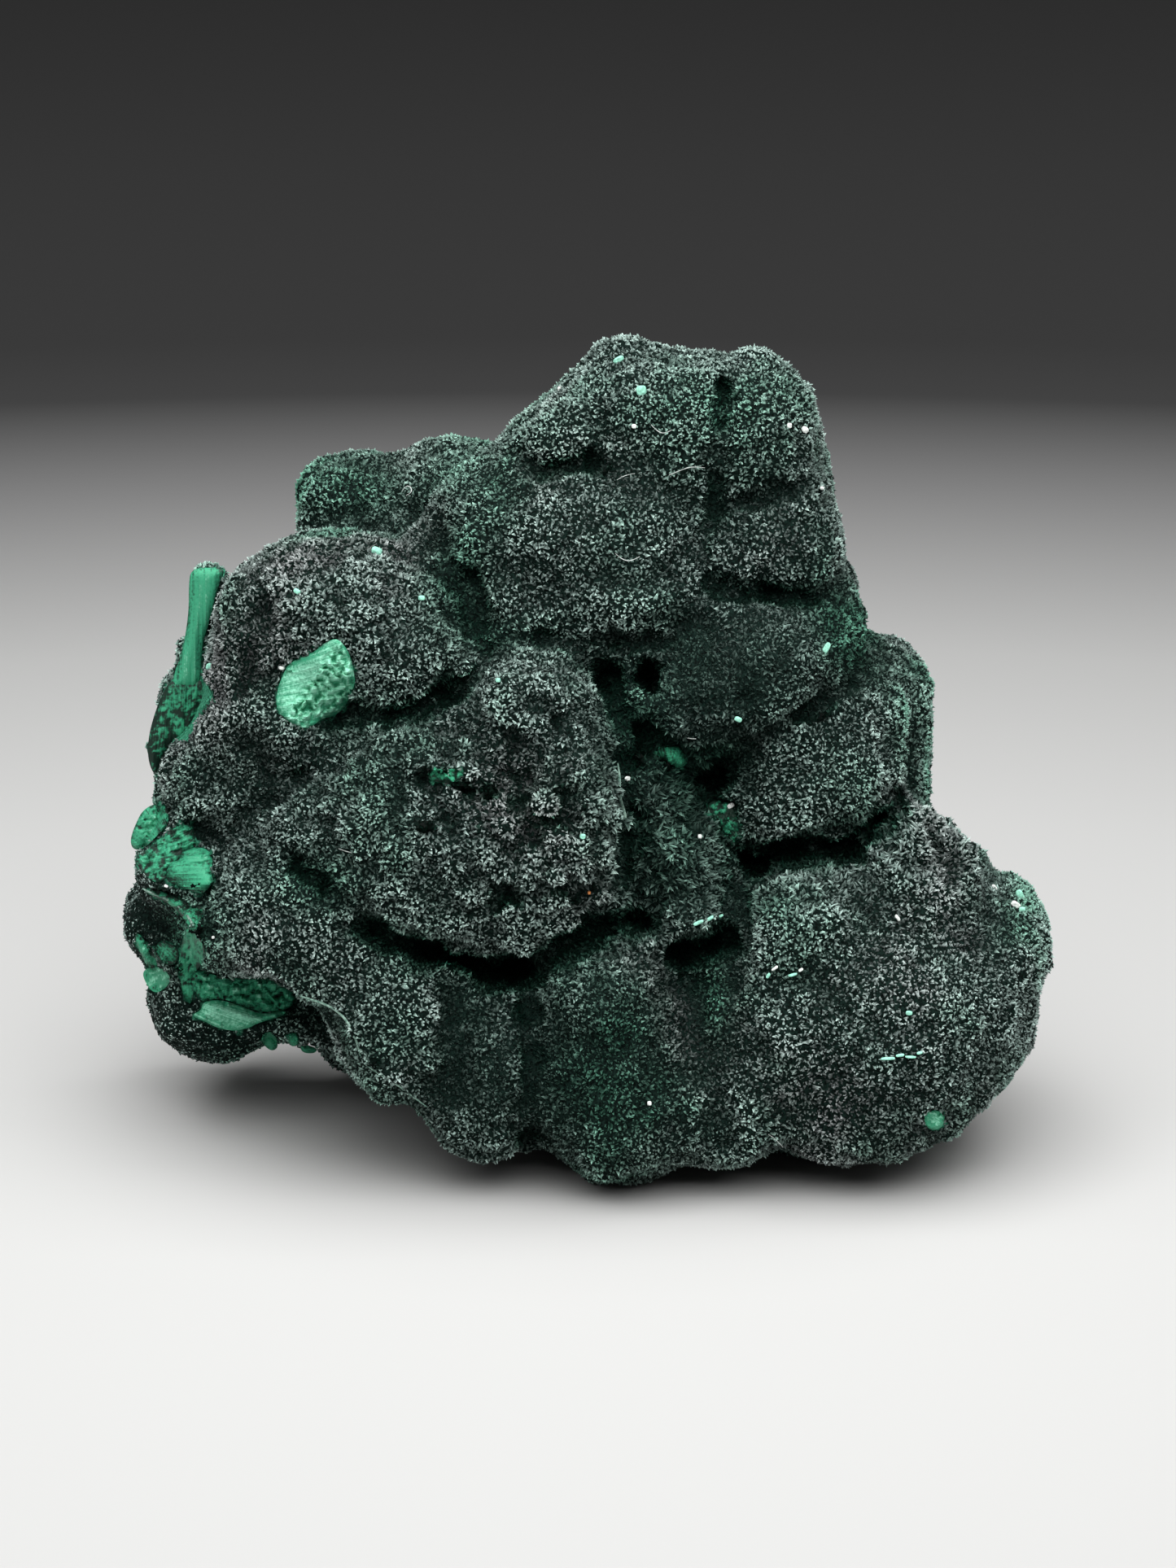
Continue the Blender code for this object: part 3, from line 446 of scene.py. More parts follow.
# Lobes of the core and of the side away from the camera: middle and half sizes in mm.
BACK_LOBES = {
    "core_top": ((6, 5, 42), (10, 8, 13)),
    "core_mid": ((-1, 5, 31), (19, 10, 13)),
    "core_low": ((4, 3, 13), (23, 13, 11)),
    "core_left": ((-17, 4, 24), (11, 10, 13)),
    "back_crown": ((8, 8, 46), (10, 8, 9)),
    "back_crown_right": ((11, 8, 36), (8, 9, 10)),
    "back_brow": ((-3, 11, 35), (12, 9, 8)),
    "back_knob_root": ((-13, 12, 33), (9, 8, 9)),
    "back_left": ((-14, 11, 26), (12, 9, 8)),
    "back_left_low": ((-19, 8, 19), (9, 8, 8)),
    "back_mid": ((3, 14, 26), (14, 8, 9)),
    "back_right": ((16, 9, 25), (8, 10, 10)),
    "back_right_low": ((22, 7, 12), (9, 10, 10)),
    "back_low": ((8, 16, 13), (13, 8, 11)),
    "back_low_left": ((-9, 16, 11), (10, 8, 8)),
    "back_heel": ((19, 9, 6), (11, 9, 6.6)),
    "back_toe": ((-7, 11, 5), (14, 8, 5.8)),
    "underside": ((5, -2, 7), (21, 11, 6.6)),
    "right_foot": ((18, -3, 6), (9, 8, 6.6)),
}

# Crevices, pits and undercuts: half width (pixels), depth (mm; - is raised), and the line they follow in the
# picture.
CREVICES = {
    "brow_valley": (20, 2.2, [(532, 648), (552, 700), (592, 790)]),
    "mound_valley": (16, 1.4, [(606, 805), (540, 862), (480, 886)]),
    "cheek_valley": (18, 1.6, [(300, 905), (330, 945), (345, 975), (300, 1005), (245, 1022)]),
    "fan_edge": (10, 1.6, [(776, 905), (768, 950), (780, 1010), (770, 1060), (748, 1090)]),
    "chin_valley": (20, 4.0, [(440, 1130), (560, 1180), (650, 1190), (740, 1144), (790, 1132)]),
    "chin_valley_left": (12, 1.2, [(360, 1060), (440, 1128)]),
    "crest_valley": (13, 1.2, [(606, 792), (690, 784), (748, 840), (776, 905), (850, 948)]),
    "elbow_valley": (18, 1.6, [(1070, 815), (985, 878), (930, 912), (880, 950)]),
    "fan_valley": (20, 3.0, [(850, 950), (905, 1040), (914, 1145)]),
    "ledge_valley": (20, 3.6, [(915, 1062), (1000, 1045), (1066, 1026), (1104, 985)]),
    "collar_valley": (16, 0.8, [(870, 714), (985, 735), (1020, 730)]),
    "ridge_valley": (18, 0.8, [(735, 788), (850, 770), (868, 716)]),
    "apron_valley": (22, 1.4, [(556, 1200), (558, 1340)]),
    "base_valley": (18, 0.6, [(652, 1195), (655, 1405)]),
    "seam_valley": (22, 1.6, [(838, 1190), (868, 1290), (888, 1400)]),
    "slope_under": (7, 2.5, [(630, 559), (655, 572), (676, 578), (702, 573), (730, 562)]),
    "slope_under_left": (8, 1.5, [(590, 546), (612, 552), (632, 560)]),
    "crown_groove": (9, 4.5, [(889, 468), (888, 500), (885, 520)]),
    "crown_groove_low": (9, 1.8, [(885, 520), (880, 560), (878, 610)]),
    "scar": (14, 0.8, [(873, 482), (872, 508)]),
    "collar_top": (6, 2.0, [(882, 628), (905, 621), (950, 611), (978, 601), (992, 593)]),
    "collar_left": (10, 1.3, [(874, 635), (866, 670), (868, 700)]),
    "collar_under": (8, 3.0, [(868, 714), (900, 722), (940, 730), (985, 736), (1012, 730)]),
    "mound_brow": (8, 2.0, [(528, 640), (545, 665), (558, 700), (572, 740), (585, 770), (600, 795)]),
    "mound_under": (9, 3.8, [(606, 800), (588, 824), (562, 848), (532, 862), (500, 874), (470, 884)]),
    "mound_pit": (8, 3.6, [(500, 874), (530, 866)]),
    "mound_under_left": (10, 2.0, [(470, 882), (440, 872), (415, 885)]),
    "mound_fold": (12, 1.4, [(320, 740), (310, 790), (305, 840)]),
    "ridge_crest": (8, 1.8, [(600, 797), (640, 786), (690, 788), (722, 815), (742, 845)]),
    "ridge_under": (9, 1.8, [(735, 786), (770, 788), (800, 790), (830, 780), (850, 765)]),
    "pit_left": (9, 4.6, [(746, 830), (750, 840)]),
    "pit_right": (11, 5.5, [(797, 828), (797, 840)]),
    "neck_pit": (8, 2.2, [(879, 618), (880, 630)]),
    "belly_elbow": (8, 3.6, [(1062, 822), (1045, 838), (1020, 860), (985, 878), (955, 892), (930, 912)]),
    "belly_corner": (14, 5.0, [(884, 938), (893, 950), (868, 962)]),
    "belly_corner_left": (11, 3.0, [(785, 900), (810, 912), (850, 935), (865, 955)]),
    "belly_dimple": (9, 1.4, [(915, 856), (922, 858)]),
    "elbow_under": (12, 5.6, [
        (915, 1062), (935, 1062), (955, 1048), (1000, 1038), (1040, 1044), (1066, 1026), (1086, 1000)]),
    "elbow_pocket": (19, 7.0, [(922, 1058), (938, 1066)]),
    "elbow_facet": (8, 0.8, [(1100, 900), (1098, 950), (1095, 985)]),
    "crest_pocket": (11, 4.0, [(784, 898), (800, 914)]),
    "crest_right": (9, 3.0, [(742, 845), (762, 880), (778, 905)]),
    "fan_left": (7, 2.0, [(772, 905), (762, 950), (772, 1010), (764, 1060), (745, 1088)]),
    "fan_right": (9, 2.8, [(850, 950), (866, 985), (888, 1003), (903, 1030), (908, 1065), (913, 1100),
                           (914, 1145)]),
    "chin_left": (8, 2.4, [(362, 1055), (388, 1084), (412, 1108), (440, 1130)]),
    "chin_under": (11, 6.5, [(445, 1140), (475, 1152), (520, 1166), (570, 1184), (620, 1194), (655, 1190),
                             (690, 1168), (740, 1142), (775, 1130), (795, 1136)]),
    "valley": (15, 7.5, [(565, 1180), (600, 1196), (645, 1192)]),
    "fan_slot": (14, 6.5, [(826, 1174), (855, 1170), (896, 1156)]),
    "shelf_top": (8, 1.0, [(572, 1120), (600, 1106), (640, 1097), (680, 1094), (720, 1092), (745, 1078)]),
    "base_split": (11, 1.4, [(652, 1200), (650, 1250), (652, 1300), (650, 1350), (655, 1405)]),
    "base_seam": (13, 1.8, [(838, 1195), (858, 1240), (868, 1290), (875, 1340), (885, 1390)]),
    "right_seam": (11, 1.0, [(915, 1150), (900, 1220), (890, 1290)]),
    "cheek_low": (10, 2.6, [(240, 1020), (270, 1030), (300, 1000), (325, 990), (345, 975)]),
    "cheek_crack": (8, 2.0, [(310, 900), (318, 930), (335, 955), (372, 958)]),
    "ledge_under": (6, 1.0, [(522, 966), (545, 964), (572, 960)]),
    "ledge_over": (6, -0.5, [(515, 952), (560, 944), (600, 950)]),
    "slab_edge": (6, 1.6, [(270, 700), (262, 760), (258, 820), (262, 860), (240, 885), (232, 910),
                           (205, 945)]),
    "apron_split": (12, 1.1, [(556, 1210), (560, 1250), (556, 1300), (540, 1330)]),
    "cheek_green": (6, 1.2, [(258, 1042), (264, 1080), (240, 1104), (256, 1150)]),
    "shelf_slit": (5, 1.6, [(600, 1118), (630, 1108), (664, 1102)]),
    "shelf_hole": (10, 4.5, [(702, 1094), (714, 1098)]),
    "shelf_crack": (5, 2.0, [(604, 1094), (640, 1096), (690, 1090)]),
    "crest_shade": (16, 1.2, [(650, 872), (690, 884)]),
    "crest_pit": (6, 1.8, [(627, 908), (629, 914)]),
    "cheek_pit": (8, 2.2, [(368, 955), (380, 958)]),
    "plate_edge": (6, 1.2, [(376, 1068), (380, 1052), (392, 1040)]),
    "lump_crack": (6, 1.5, [(660, 1000), (680, 1006), (700, 1012), (706, 1020)]),
    "lump_gap": (6, 1.3, [(700, 975), (698, 992), (705, 1003)]),
    "ledge_shade": (9, 1.6, [(568, 962), (585, 970), (596, 980)]),
    "mass_crack": (5, 1.2, [(510, 1012), (530, 1012), (552, 1008), (556, 992)]),
    "knob_1": (8, -0.7, [(590, 1012), (592, 1014)]),
    "knob_2": (8, -0.6, [(607, 1010), (609, 1012)]),
    "knob_3": (9, -0.6, [(593, 1038), (595, 1041)]),
    "knob_4": (11, -0.9, [(684, 978), (686, 984)]),
    "knob_5": (11, -0.7, [(712, 994), (713, 998)]),
    "knob_6": (14, -0.8, [(755, 985), (757, 1000)]),
    "base_notch": (15, 5.0, [(650, 1396), (652, 1430)]),
    "brow_pocket": (10, 2.4, [(575, 700), (590, 735), (596, 770)]),
    "base_rim": (8, -1.0, [(650, 1194), (700, 1160), (745, 1144), (790, 1149), (824, 1184)]),
    "crest_rim": (8, -0.6, [(600, 812), (650, 800), (700, 806), (728, 845)]),
    "foot_hollow": (16, 2.6, [(190, 1130), (196, 1155), (203, 1180)]),
    "foot_hole": (8, 3.0, [(184, 1133), (204, 1142)]),
    "lip_left": (5, -0.7, [(165, 1060), (180, 1085), (215, 1105), (240, 1140), (248, 1160)]),
    "lip_low": (5, -0.7, [(330, 1200), (365, 1220), (415, 1240), (432, 1265), (442, 1300), (480, 1325),
                          (530, 1358)]),
}


def camera_place():
    return (AIMED_AT[0], AIMED_AT[1] - CAMERA_AWAY * math.cos(CAMERA_RISE),
            AIMED_AT[2] + CAMERA_AWAY * math.sin(CAMERA_RISE))


def from_picture(u, v, y):
    """The point (mm) at depth y that the photograph shows at pixel u, v."""
    away = PIXELS_PER_MM * CAMERA_AWAY
    right, up = (u - PICTURE_MIDDLE[0]) / away, (PICTURE_MIDDLE[1] - v) / away
    eye = camera_place()
    reach = (y - eye[1]) / (math.cos(CAMERA_RISE) + up * math.sin(CAMERA_RISE))
    return Vector((eye[0] + reach * right, y,
                   eye[2] + reach * (up * math.cos(CAMERA_RISE) - math.sin(CAMERA_RISE))))


def to_picture(points):
    """Pixels (n, 2) at which the photograph shows points (n, 3) given in mm."""
    eye = camera_place()
    back, rise = points[:, 1] - eye[1], points[:, 2] - eye[2]
    ahead = back * math.cos(CAMERA_RISE) - rise * math.sin(CAMERA_RISE)
    up = back * math.sin(CAMERA_RISE) + rise * math.cos(CAMERA_RISE)
    away = PIXELS_PER_MM * CAMERA_AWAY / ahead
    return np.stack([PICTURE_MIDDLE[0] + away * (points[:, 0] - eye[0]), PICTURE_MIDDLE[1] - away * up], 1)


def add_lobe(bm, middle, half, lean, squareness, rounds=4):
    """An icosphere drawn out to a rounded, slightly squared lobe."""
    place = Matrix.Translation(middle) @ Matrix.Rotation(math.radians(lean), 4, "Y")
    for vert in bmesh.ops.create_icosphere(bm, subdivisions=rounds, radius=1)["verts"]:
        reach = sum(abs(c) ** squareness for c in vert.co) ** (-1 / squareness)
        vert.co = place @ Vector([c * reach * h for c, h in zip(vert.co, half)])


def add_front_lobes(bm, blades):
    """The lobes that the photograph shows: either its blades or all the others."""
    for u, v, front, wide, high, deep, lean, squareness in FRONT_LOBES.values():
        if (squareness >= BLADE_SQUARENESS) == blades:
            half = (wide / PIXELS_PER_MM, deep, high / PIXELS_PER_MM)
            add_lobe(bm, from_picture(u, v, front + deep), half, lean, squareness)


def mesh_of(bm, name):
    mesh = bpy.data.meshes.new(name)
    bm.to_mesh(mesh)
    bm.free()
    return mesh


def lobes():
    """One mesh that holds every rounded lobe, in mm."""
    bm = bmesh.new()
    add_front_lobes(bm, blades=False)
    for middle, half in BACK_LOBES.values():
        add_lobe(bm, Vector(middle), half, 0, BACK_SQUARENESS)
    return mesh_of(bm, "lobes")


def evaluated(holder):
    """A mesh of what an object shows, with its modifiers."""
    return bpy.data.meshes.new_from_object(holder.evaluated_get(bpy.context.evaluated_depsgraph_get()))


def applied(body):
    """Put the result of the body's modifiers in place of its mesh."""
    mesh = evaluated(body)
    body.modifiers.clear()
    body.data = mesh
    return mesh


def fuse(body, grid, smoothing):
    """Grow what the mesh holds together into one closed skin."""
    grown = body.modifiers.new("grown", "REMESH")
    grown.mode = "VOXEL"
    grown.voxel_size = grid
    if smoothing:
        worn = body.modifiers.new("worn", "SMOOTH")
        worn.factor = 0.5
        worn.iterations = smoothing
    return applied(body)


def read(mesh, what):
    values = np.empty(len(mesh.vertices) * 3)
    mesh.vertices.foreach_get(what, values)
    return values.reshape(-1, 3)


def write(mesh, places):
    mesh.vertices.foreach_set("co", places.ravel())
    mesh.update()


def swell(mesh, by):
    write(mesh, read(mesh, "co") + by * read(mesh, "normal"))


def close_gaps(body):
    """Grow narrow grooves shut: the skin swells outwards, and back again. Then the blades are set in."""
    swell(fuse(body, GROWTH_GRID, 0), GAP_CLOSED)
    swell(fuse(body, GROWTH_GRID, 1), -GAP_CLOSED)
    bm = bmesh.new()
    bm.from_mesh(body.data)
    add_front_lobes(bm, blades=True)
    bm.to_mesh(body.data)
    bm.free()
    return fuse(body, GROWTH_GRID, 1)


def distance_to_line(points, line):
    near = np.full(len(points), np.inf)
    for start, end in zip(line, line[1:]):
        start, along = np.array(start, float), np.subtract(end, start).astype(float)
        part = np.clip((points - start) @ along / (along @ along), 0, 1)
        near = np.minimum(near, np.linalg.norm(points - start - part[:, None] * along, axis=1))
    return near


def carve(mesh):
    """Press the crevices and pits into the front of the lump along the line of sight, and raise its rims."""
    places = read(mesh, "co")
    facing = np.clip(FRONTAL[0] + FRONTAL[1] * read(mesh, "normal")[:, 1], 0, 1)
    astray = np.array([noise.noise_vector(Vector(place) / RAGGED[0])[:2] for place in places])
    picture = to_picture(places) + RAGGED[1] * PIXELS_PER_MM * astray
    pressed, raised = np.zeros(len(places)), np.zeros(len(places))
    for half, deep, line in CREVICES.values():
        reached = deep * np.exp(-(distance_to_line(picture, line) / half) ** 2)
        pressed, raised = np.maximum(pressed, reached), np.minimum(raised, reached)
    moved = (pressed + raised) * facing
    places[:, 1] += moved * math.cos(CAMERA_RISE)
    places[:, 2] -= moved * math.sin(CAMERA_RISE)
    write(mesh, places)


def nearness(picture, middle, reach):
    """1 in the middle of a spot of the picture, fading to 0 past its reach."""
    return np.exp(-((picture - middle) / reach) ** 2).prod(1)


def dome(place, across):
    """Height, about -0.5 to 0.5, of rounded domes this far across that meet in creases."""
    return 0.5 - noise.voronoi(place / across)[0][0]


def roughen(mesh):
    """Swellings and hollows over the whole skin, and coarser lumps in the centre of the front."""
    places, normals = read(mesh, "co"), read(mesh, "normal")
    coarse = nearness(to_picture(places), COARSEST_AT, COARSE_REACH) * (normals[:, 1] < 0)
    lift = np.empty(len(places))
    for i, place in enumerate(places):
        place = Vector(place)
        warped = place + WARP[1] * noise.noise_vector(place / WARP[0])
        lift[i] = sum(high * dome(warped, across) for across, high in SWELLINGS)
        lift[i] += UNEVENNESS[1] * noise.noise(place / UNEVENNESS[0])
        lift[i] += coarse[i] * GRANULES[1] * dome(warped, GRANULES[0])
    write(mesh, places + normals * lift[:, None])


def coarseness(places, normals, column):
    """How coarse the front is at each place, 0 where plain: its grains (column 2) or crystals (column 3)."""
    picture = to_picture(places)
    most = np.zeros(len(places))
    for entry in COARSE_PLACES:
        most += entry[column] * nearness(picture, *entry[:2])
    return most * (normals[:, 1] < FACING["coarse"])


def patches_and_painted_light(places, normals):
    """How much lighter and how much greener the velvet is at each place; the lighter and darker are partly
    painted light and shade.
    """
    picture = to_picture(places)
    lighter, greener = np.zeros(len(places)), np.zeros(len(places))
    for middle, reach, more, green in PATCHES_AND_PAINTED_LIGHT:
        near = nearness(picture, middle, reach) * (normals[:, 1] < FACING["patch"])
        lighter += more * near
        greener = np.maximum(greener, green * near)
    return lighter, greener


def stripes(places, normals):
    """How much lighter the velvet is along its streaks, where it has them."""
    picture = to_picture(places)
    lighter = np.zeros(len(places))
    for middle, reach, lean, strength in STRIPED:
        near = strength * nearness(picture, middle, reach) * (normals[:, 1] < FACING["striped"])
        turn = math.radians(lean)
        for i in np.flatnonzero(near > FAINTEST):
            u, v = picture[i]
            along = u * math.cos(turn) + v * math.sin(turn)
            across = v * math.cos(turn) - u * math.sin(turn)
            lighter[i] += near[i] * noise.noise(Vector((along / STREAK[0], across / STREAK[1], 0)))
    return lighter


def granulate(mesh):
    """Grains all over the skin, highest where the front is coarse, none under the broken faces."""
    places, normals = read(mesh, "co"), read(mesh, "normal")
    higher = (1 + coarseness(places, normals, 2)) * ~is_bare(places, normals)
    lift = np.empty(len(places))
    for i, place in enumerate(places):
        warped = Vector(place) + GRAIN_WARP[1] * noise.noise_vector(Vector(place) / GRAIN_WARP[0])
        lift[i] = sum(high * dome(warped, across) for across, high in GRAINS) * higher[i]
    write(mesh, places + normals * lift[:, None])


def inside(points, outline):
    """Which points (n, 2) lie inside a closed outline."""
    crossed = np.zeros(len(points), bool)
    for (u0, v0), (u1, v1) in zip(outline, outline[1:] + outline[:1]):
        if v0 != v1:
            spans = (v0 > points[:, 1]) != (v1 > points[:, 1])
            crossed ^= spans & (points[:, 0] < u0 + (points[:, 1] - v0) * (u1 - u0) / (v1 - v0))
    return crossed


def is_bare(places, normals):
    """Which places lie on the front under a broken face, where no velvet grows."""
    picture = to_picture(places)
    bare = np.zeros(len(places), bool)
    for *_, free, outline in BROKEN.values():
        bare |= inside(picture, outline) & ((normals[:, 1] < BARE_FACING) | (free is not None))
    return bare


class Wire:
    """One output of a material's nodes, or a sum of them: arithmetic on it adds Math nodes."""

    def __init__(self, tree, socket):
        self.tree, self.socket = tree, socket

    def node(self, kind, settings=None, sockets=None, out=0):
        """Any node: its settings first, then the values or links of its sockets."""
        made = self.tree.nodes.new(kind)
        for name, value in (settings or {}).items():
            if name == "stops":
                ramp = made.color_ramp.elements
                while len(ramp) < len(value):
                    ramp.new(0.5)
                for stop, (place, colour) in zip(ramp, value):
                    stop.position, stop.color = place, colour
            else:
                setattr(made, name, value)
        for name, value in (sockets or {}).items():
            if isinstance(value, Wire):
                self.tree.links.new(value.socket, made.inputs[name])
            else:
                made.inputs[name].default_value = value
        return Wire(self.tree, made.outputs[out])

    def maths(self, operation, first, second=0.0, clamp=False):
        settings = {"operation": operation, "use_clamp": clamp}
        return self.node("ShaderNodeMath", settings, {0: first, 1: second})

    def __add__(self, other):
        return self.maths("ADD", self, other)

    def __sub__(self, other):
        return self.maths("SUBTRACT", self, other)

    def __rsub__(self, other):
        return self.maths("SUBTRACT", other, self)

    def __mul__(self, other):
        return self.maths("MULTIPLY", self, other)

    __radd__, __rmul__ = __add__, __mul__

    def ramp(self, low, high):
        """0 below low, 1 above high, straight between; low may be the larger."""
        return self.maths("MULTIPLY", self - low, 1 / (high - low), clamp=True)

    def between(self, colour_at_0, colour_at_1):
        """A colour that follows this value."""
        colours = {0: self, 6: colour_at_0, 7: colour_at_1}
        return self.node("ShaderNodeMix", {"data_type": "RGBA"}, colours, out=2)

    def noise(self, scale, detail, roughness):
        pattern = {"Vector": self, "Scale": scale, "Detail": detail, "Roughness": roughness}
        return self.node("ShaderNodeTexNoise", None, pattern)


def finish_named(name, roughness, specular=0.5):
    """A new material, its place on the object as a Wire, and its Principled shader."""
    made = bpy.data.materials.new(name)
    made.use_nodes = True
    tree = made.node_tree
    shader = tree.nodes["Principled BSDF"]
    shader.inputs["Roughness"].default_value = roughness
    shader.inputs["Specular IOR Level"].default_value = specular
    place = Wire(tree, tree.nodes.new("ShaderNodeTexCoord").outputs["Object"])
    return made, place, shader


def wear(shader, colour, height=None, relief=BUMP):
    """Give a shader its colour and its bump in metres."""
    tree = colour.tree
    tree.links.new(colour.socket, shader.inputs["Base Color"])
    if height:
        bump = height.node("ShaderNodeBump", None, {"Height": height, "Distance": relief, "Strength": 1.0})
        tree.links.new(bump.socket, shader.inputs["Normal"])


def attribute(place, name):
    return place.node("ShaderNodeAttribute", {"attribute_name": name}, out=2)


def velvet():
    """The crystals: near black at their feet, which is painted shade between them, pale grey-green at their
    tips, greener in the hollows and darkened there by painted shade.
    """
    made, place, shader = finish_named("velvet crystals", 0.6, specular=0.05)
    hollow, tip, tone, leaf = (attribute(place, name) for name in ("hollow", "tip", "tone", "green"))
    # Darker towards each crystal's foot: painted shade between the crystals.
    lit = (tip * 0.9 + 0.1) * tone
    grey, green, brown, deep = (
        lit.between(*colours) for colours in (GREY_VELVET, GREEN_VELVET, BROWN_VELVET, VELVET_IN_PAINTED_SHADE))
    skin = place.noise(*BROWN_SPOTS).ramp(0.54, 0.68).between(grey, brown)
    skin = (place.noise(*GREEN_SPOTS).ramp(0.48, 0.68) * 0.6 + leaf).ramp(0.0, 1.0).between(skin, green)
    # Greener in the hollows, the stone's own colour, with darker greens there and near black in the deepest:
    # painted shade.
    skin = (hollow.ramp(0.20, 0.50) * 0.8).between(skin, green)
    wear(shader, hollow.ramp(0.42, 0.72).between(skin, deep))
    return made


def bare_stone():
    """The skin between the crystals' feet: painted near black as shade between the crystals, dark green in
    the hollows with more painted shade, finely grained.
    """
    made, place, shader = finish_named("velvet malachite", 0.8, specular=0.05)
    grain = place.noise(*FINE_GRAIN)
    dark, green, broken = (
        grain.ramp(0.38, 0.66).between(*colours) for colours in (SKIN_IN_PAINTED_SHADE, GREEN_SKIN_IN_PAINTED_SHADE, BROKEN_SKIN))
    # Greener and darker in the hollows: the darkening is painted shade.
    skin = attribute(place, "hollow").ramp(0.25, 0.60).between(dark, green)
    wear(shader, attribute(place, "broken").between(skin, broken), grain)
    return made


def broken_stone():
    """Broken faces: pale mint where smooth, dark green in their cracks, streaked along the fibres."""
    made, place, shader = finish_named("broken malachite", 0.62, specular=0.35)
    hill, pale, along, across = (attribute(place, name) for name in ("hill", "pale", "along", "across"))
    fibre = place.node("ShaderNodeCombineXYZ", None, {0: along * ALONG_FIBRE, 1: across * ACROSS_FIBRE})
    streaks = fibre.noise(*STREAKS)
    specks = place.noise(*FINE_GRAIN)
    lit = hill * 0.72 + (streaks - 0.5) * 0.85 + (specks - 0.5) * 0.85 + pale * 0.42 - 0.04
    cracks = lit.ramp(0.0, 0.42).between(*FACE_CRACKS)
    tops = lit.ramp(0.62, 1.15).between(*FACE_TOPS)
    wear(shader, lit.ramp(0.36, 0.62).between(cracks, tops), streaks * 0.6 + specks * 0.4, FACE_BUMP)
    return made


def tree_of(mesh):
    """What rays meet the mesh with."""
    return BVHTree.FromPolygons([tuple(place) for place in read(mesh, "co")],
                                [tuple(face.vertices) for face in mesh.polygons])


def shade_in_hollows(mesh):
    """For each point, the share of its sky that nearby stone hides."""
    places, normals = read(mesh, "co"), read(mesh, "normal")
    tree = tree_of(mesh)
    draw = random.Random(SKY_SEED)
    ways = []
    for _ in range(SKY_RAYS):
        turn, rise = draw.uniform(0, math.tau), math.sqrt(draw.random())
        ways.append(Vector((rise * math.cos(turn), rise * math.sin(turn), math.sqrt(1 - rise * rise))))
    hidden = np.zeros(len(places))
    for i, (place, normal) in enumerate(zip(places, normals)):
        normal = Vector(normal)
        aim = normal.to_track_quat("Z", "Y")
        start = Vector(place) + normal * RAY_START
        total = 0.0
        for way in ways:
            reached = tree.ray_cast(start, aim @ way, SKY_REACH)[3]
            if reached is not None:
                total += 1 - reached / SKY_REACH
        hidden[i] = total / SKY_RAYS
    return hidden


def crack_depth(mesh):
    """How deep each point lies (mm) under a smoothed skin; negative on the grains."""
    ends = np.empty(len(mesh.edges) * 2, np.int32)
    mesh.edges.foreach_get("vertices", ends)
    first, second = ends.reshape(-1, 2).T
    near = np.bincount(ends, minlength=len(mesh.vertices))[:, None]
    places = read(mesh, "co")
    smooth = places
    for _ in range(CRACK_ROUNDS):
        total = np.zeros_like(places)
        np.add.at(total, first, smooth[second])
        np.add.at(total, second, smooth[first])
        smooth = total / near
    return ((smooth - places) * read(mesh, "normal")).sum(1)


def keep_attribute(mesh, name, values):
    mesh.attributes.new(name, "FLOAT", "POINT").data.foreach_set("value", values.astype(np.float32))


def new_object(name, data):
    made = bpy.data.objects.new(name, data)
    bpy.context.scene.collection.objects.link(made)
    return made


def to_row(mesh):
    """From mm in the picture's frame to the row's metres."""
    mesh.transform(Matrix.Scale(MM, 4) @ Matrix.Translation((-MIDDLE[0], -MIDDLE[1], 0)))


def sky_share(heights):
    return np.clip((heights - FLOOR_GAP[0]) / np.ptp(FLOOR_GAP), 0, 1)


def without_bubbles(mesh):
    """Leave only the outer surface: closed bubbles inside the stone go."""
    bm = bmesh.new()
    bm.from_mesh(mesh)
    front = [max(bm.verts, key=lambda vert: vert.co.z)]
    outer = set(front)
    while front:
        vert = front.pop()
        for edge in vert.link_edges:
            other = edge.other_vert(vert)
            if other not in outer:
                outer.add(other)
                front.append(other)
    bmesh.ops.delete(bm, geom=[vert for vert in bm.verts if vert not in outer], context="VERTS")
    bm.to_mesh(mesh)
    bm.free()


def stone_skin():
    """The whole lump, in mm, with its crevices, swellings and fine nodules, as far as the crystals' feet."""
    body = new_object("malachite_skin", lobes())
    carve(close_gaps(body))
    mesh = fuse(body, SKIN_GRID, 1)
    roughen(mesh)
    places, normals = read(mesh, "co"), read(mesh, "normal")
    back = VELVET_DEPTH * sky_share(places[:, 2]) + PRESSED_UNDER * is_bare(places, normals)
    write(mesh, places - back[:, None] * normals)
    granulate(mesh)
    finest = body.modifiers.new("finest", "DECIMATE")
    finest.ratio = SKIN_TRIANGLES / sum(len(face.vertices) - 2 for face in mesh.polygons)
    mesh = applied(body)
    without_bubbles(mesh)
    places = read(mesh, "co")
    places[:, 2] = np.maximum(places[:, 2], 0.0)
    write(mesh, places)
    # The hidden share of sky and the depth of the cracks drive painted shade on the skin and the velvet.
    keep_attribute(mesh, "hollow", shade_in_hollows(mesh))
    keep_attribute(mesh, "crack", crack_depth(mesh))
    keep_attribute(mesh, "broken", is_bare(places, read(mesh, "normal")).astype(float))
    mesh.shade_smooth()
    mesh.materials.clear()
    mesh.materials.append(bare_stone())
    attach(body, "root")
    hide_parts("malachite")
    return mesh


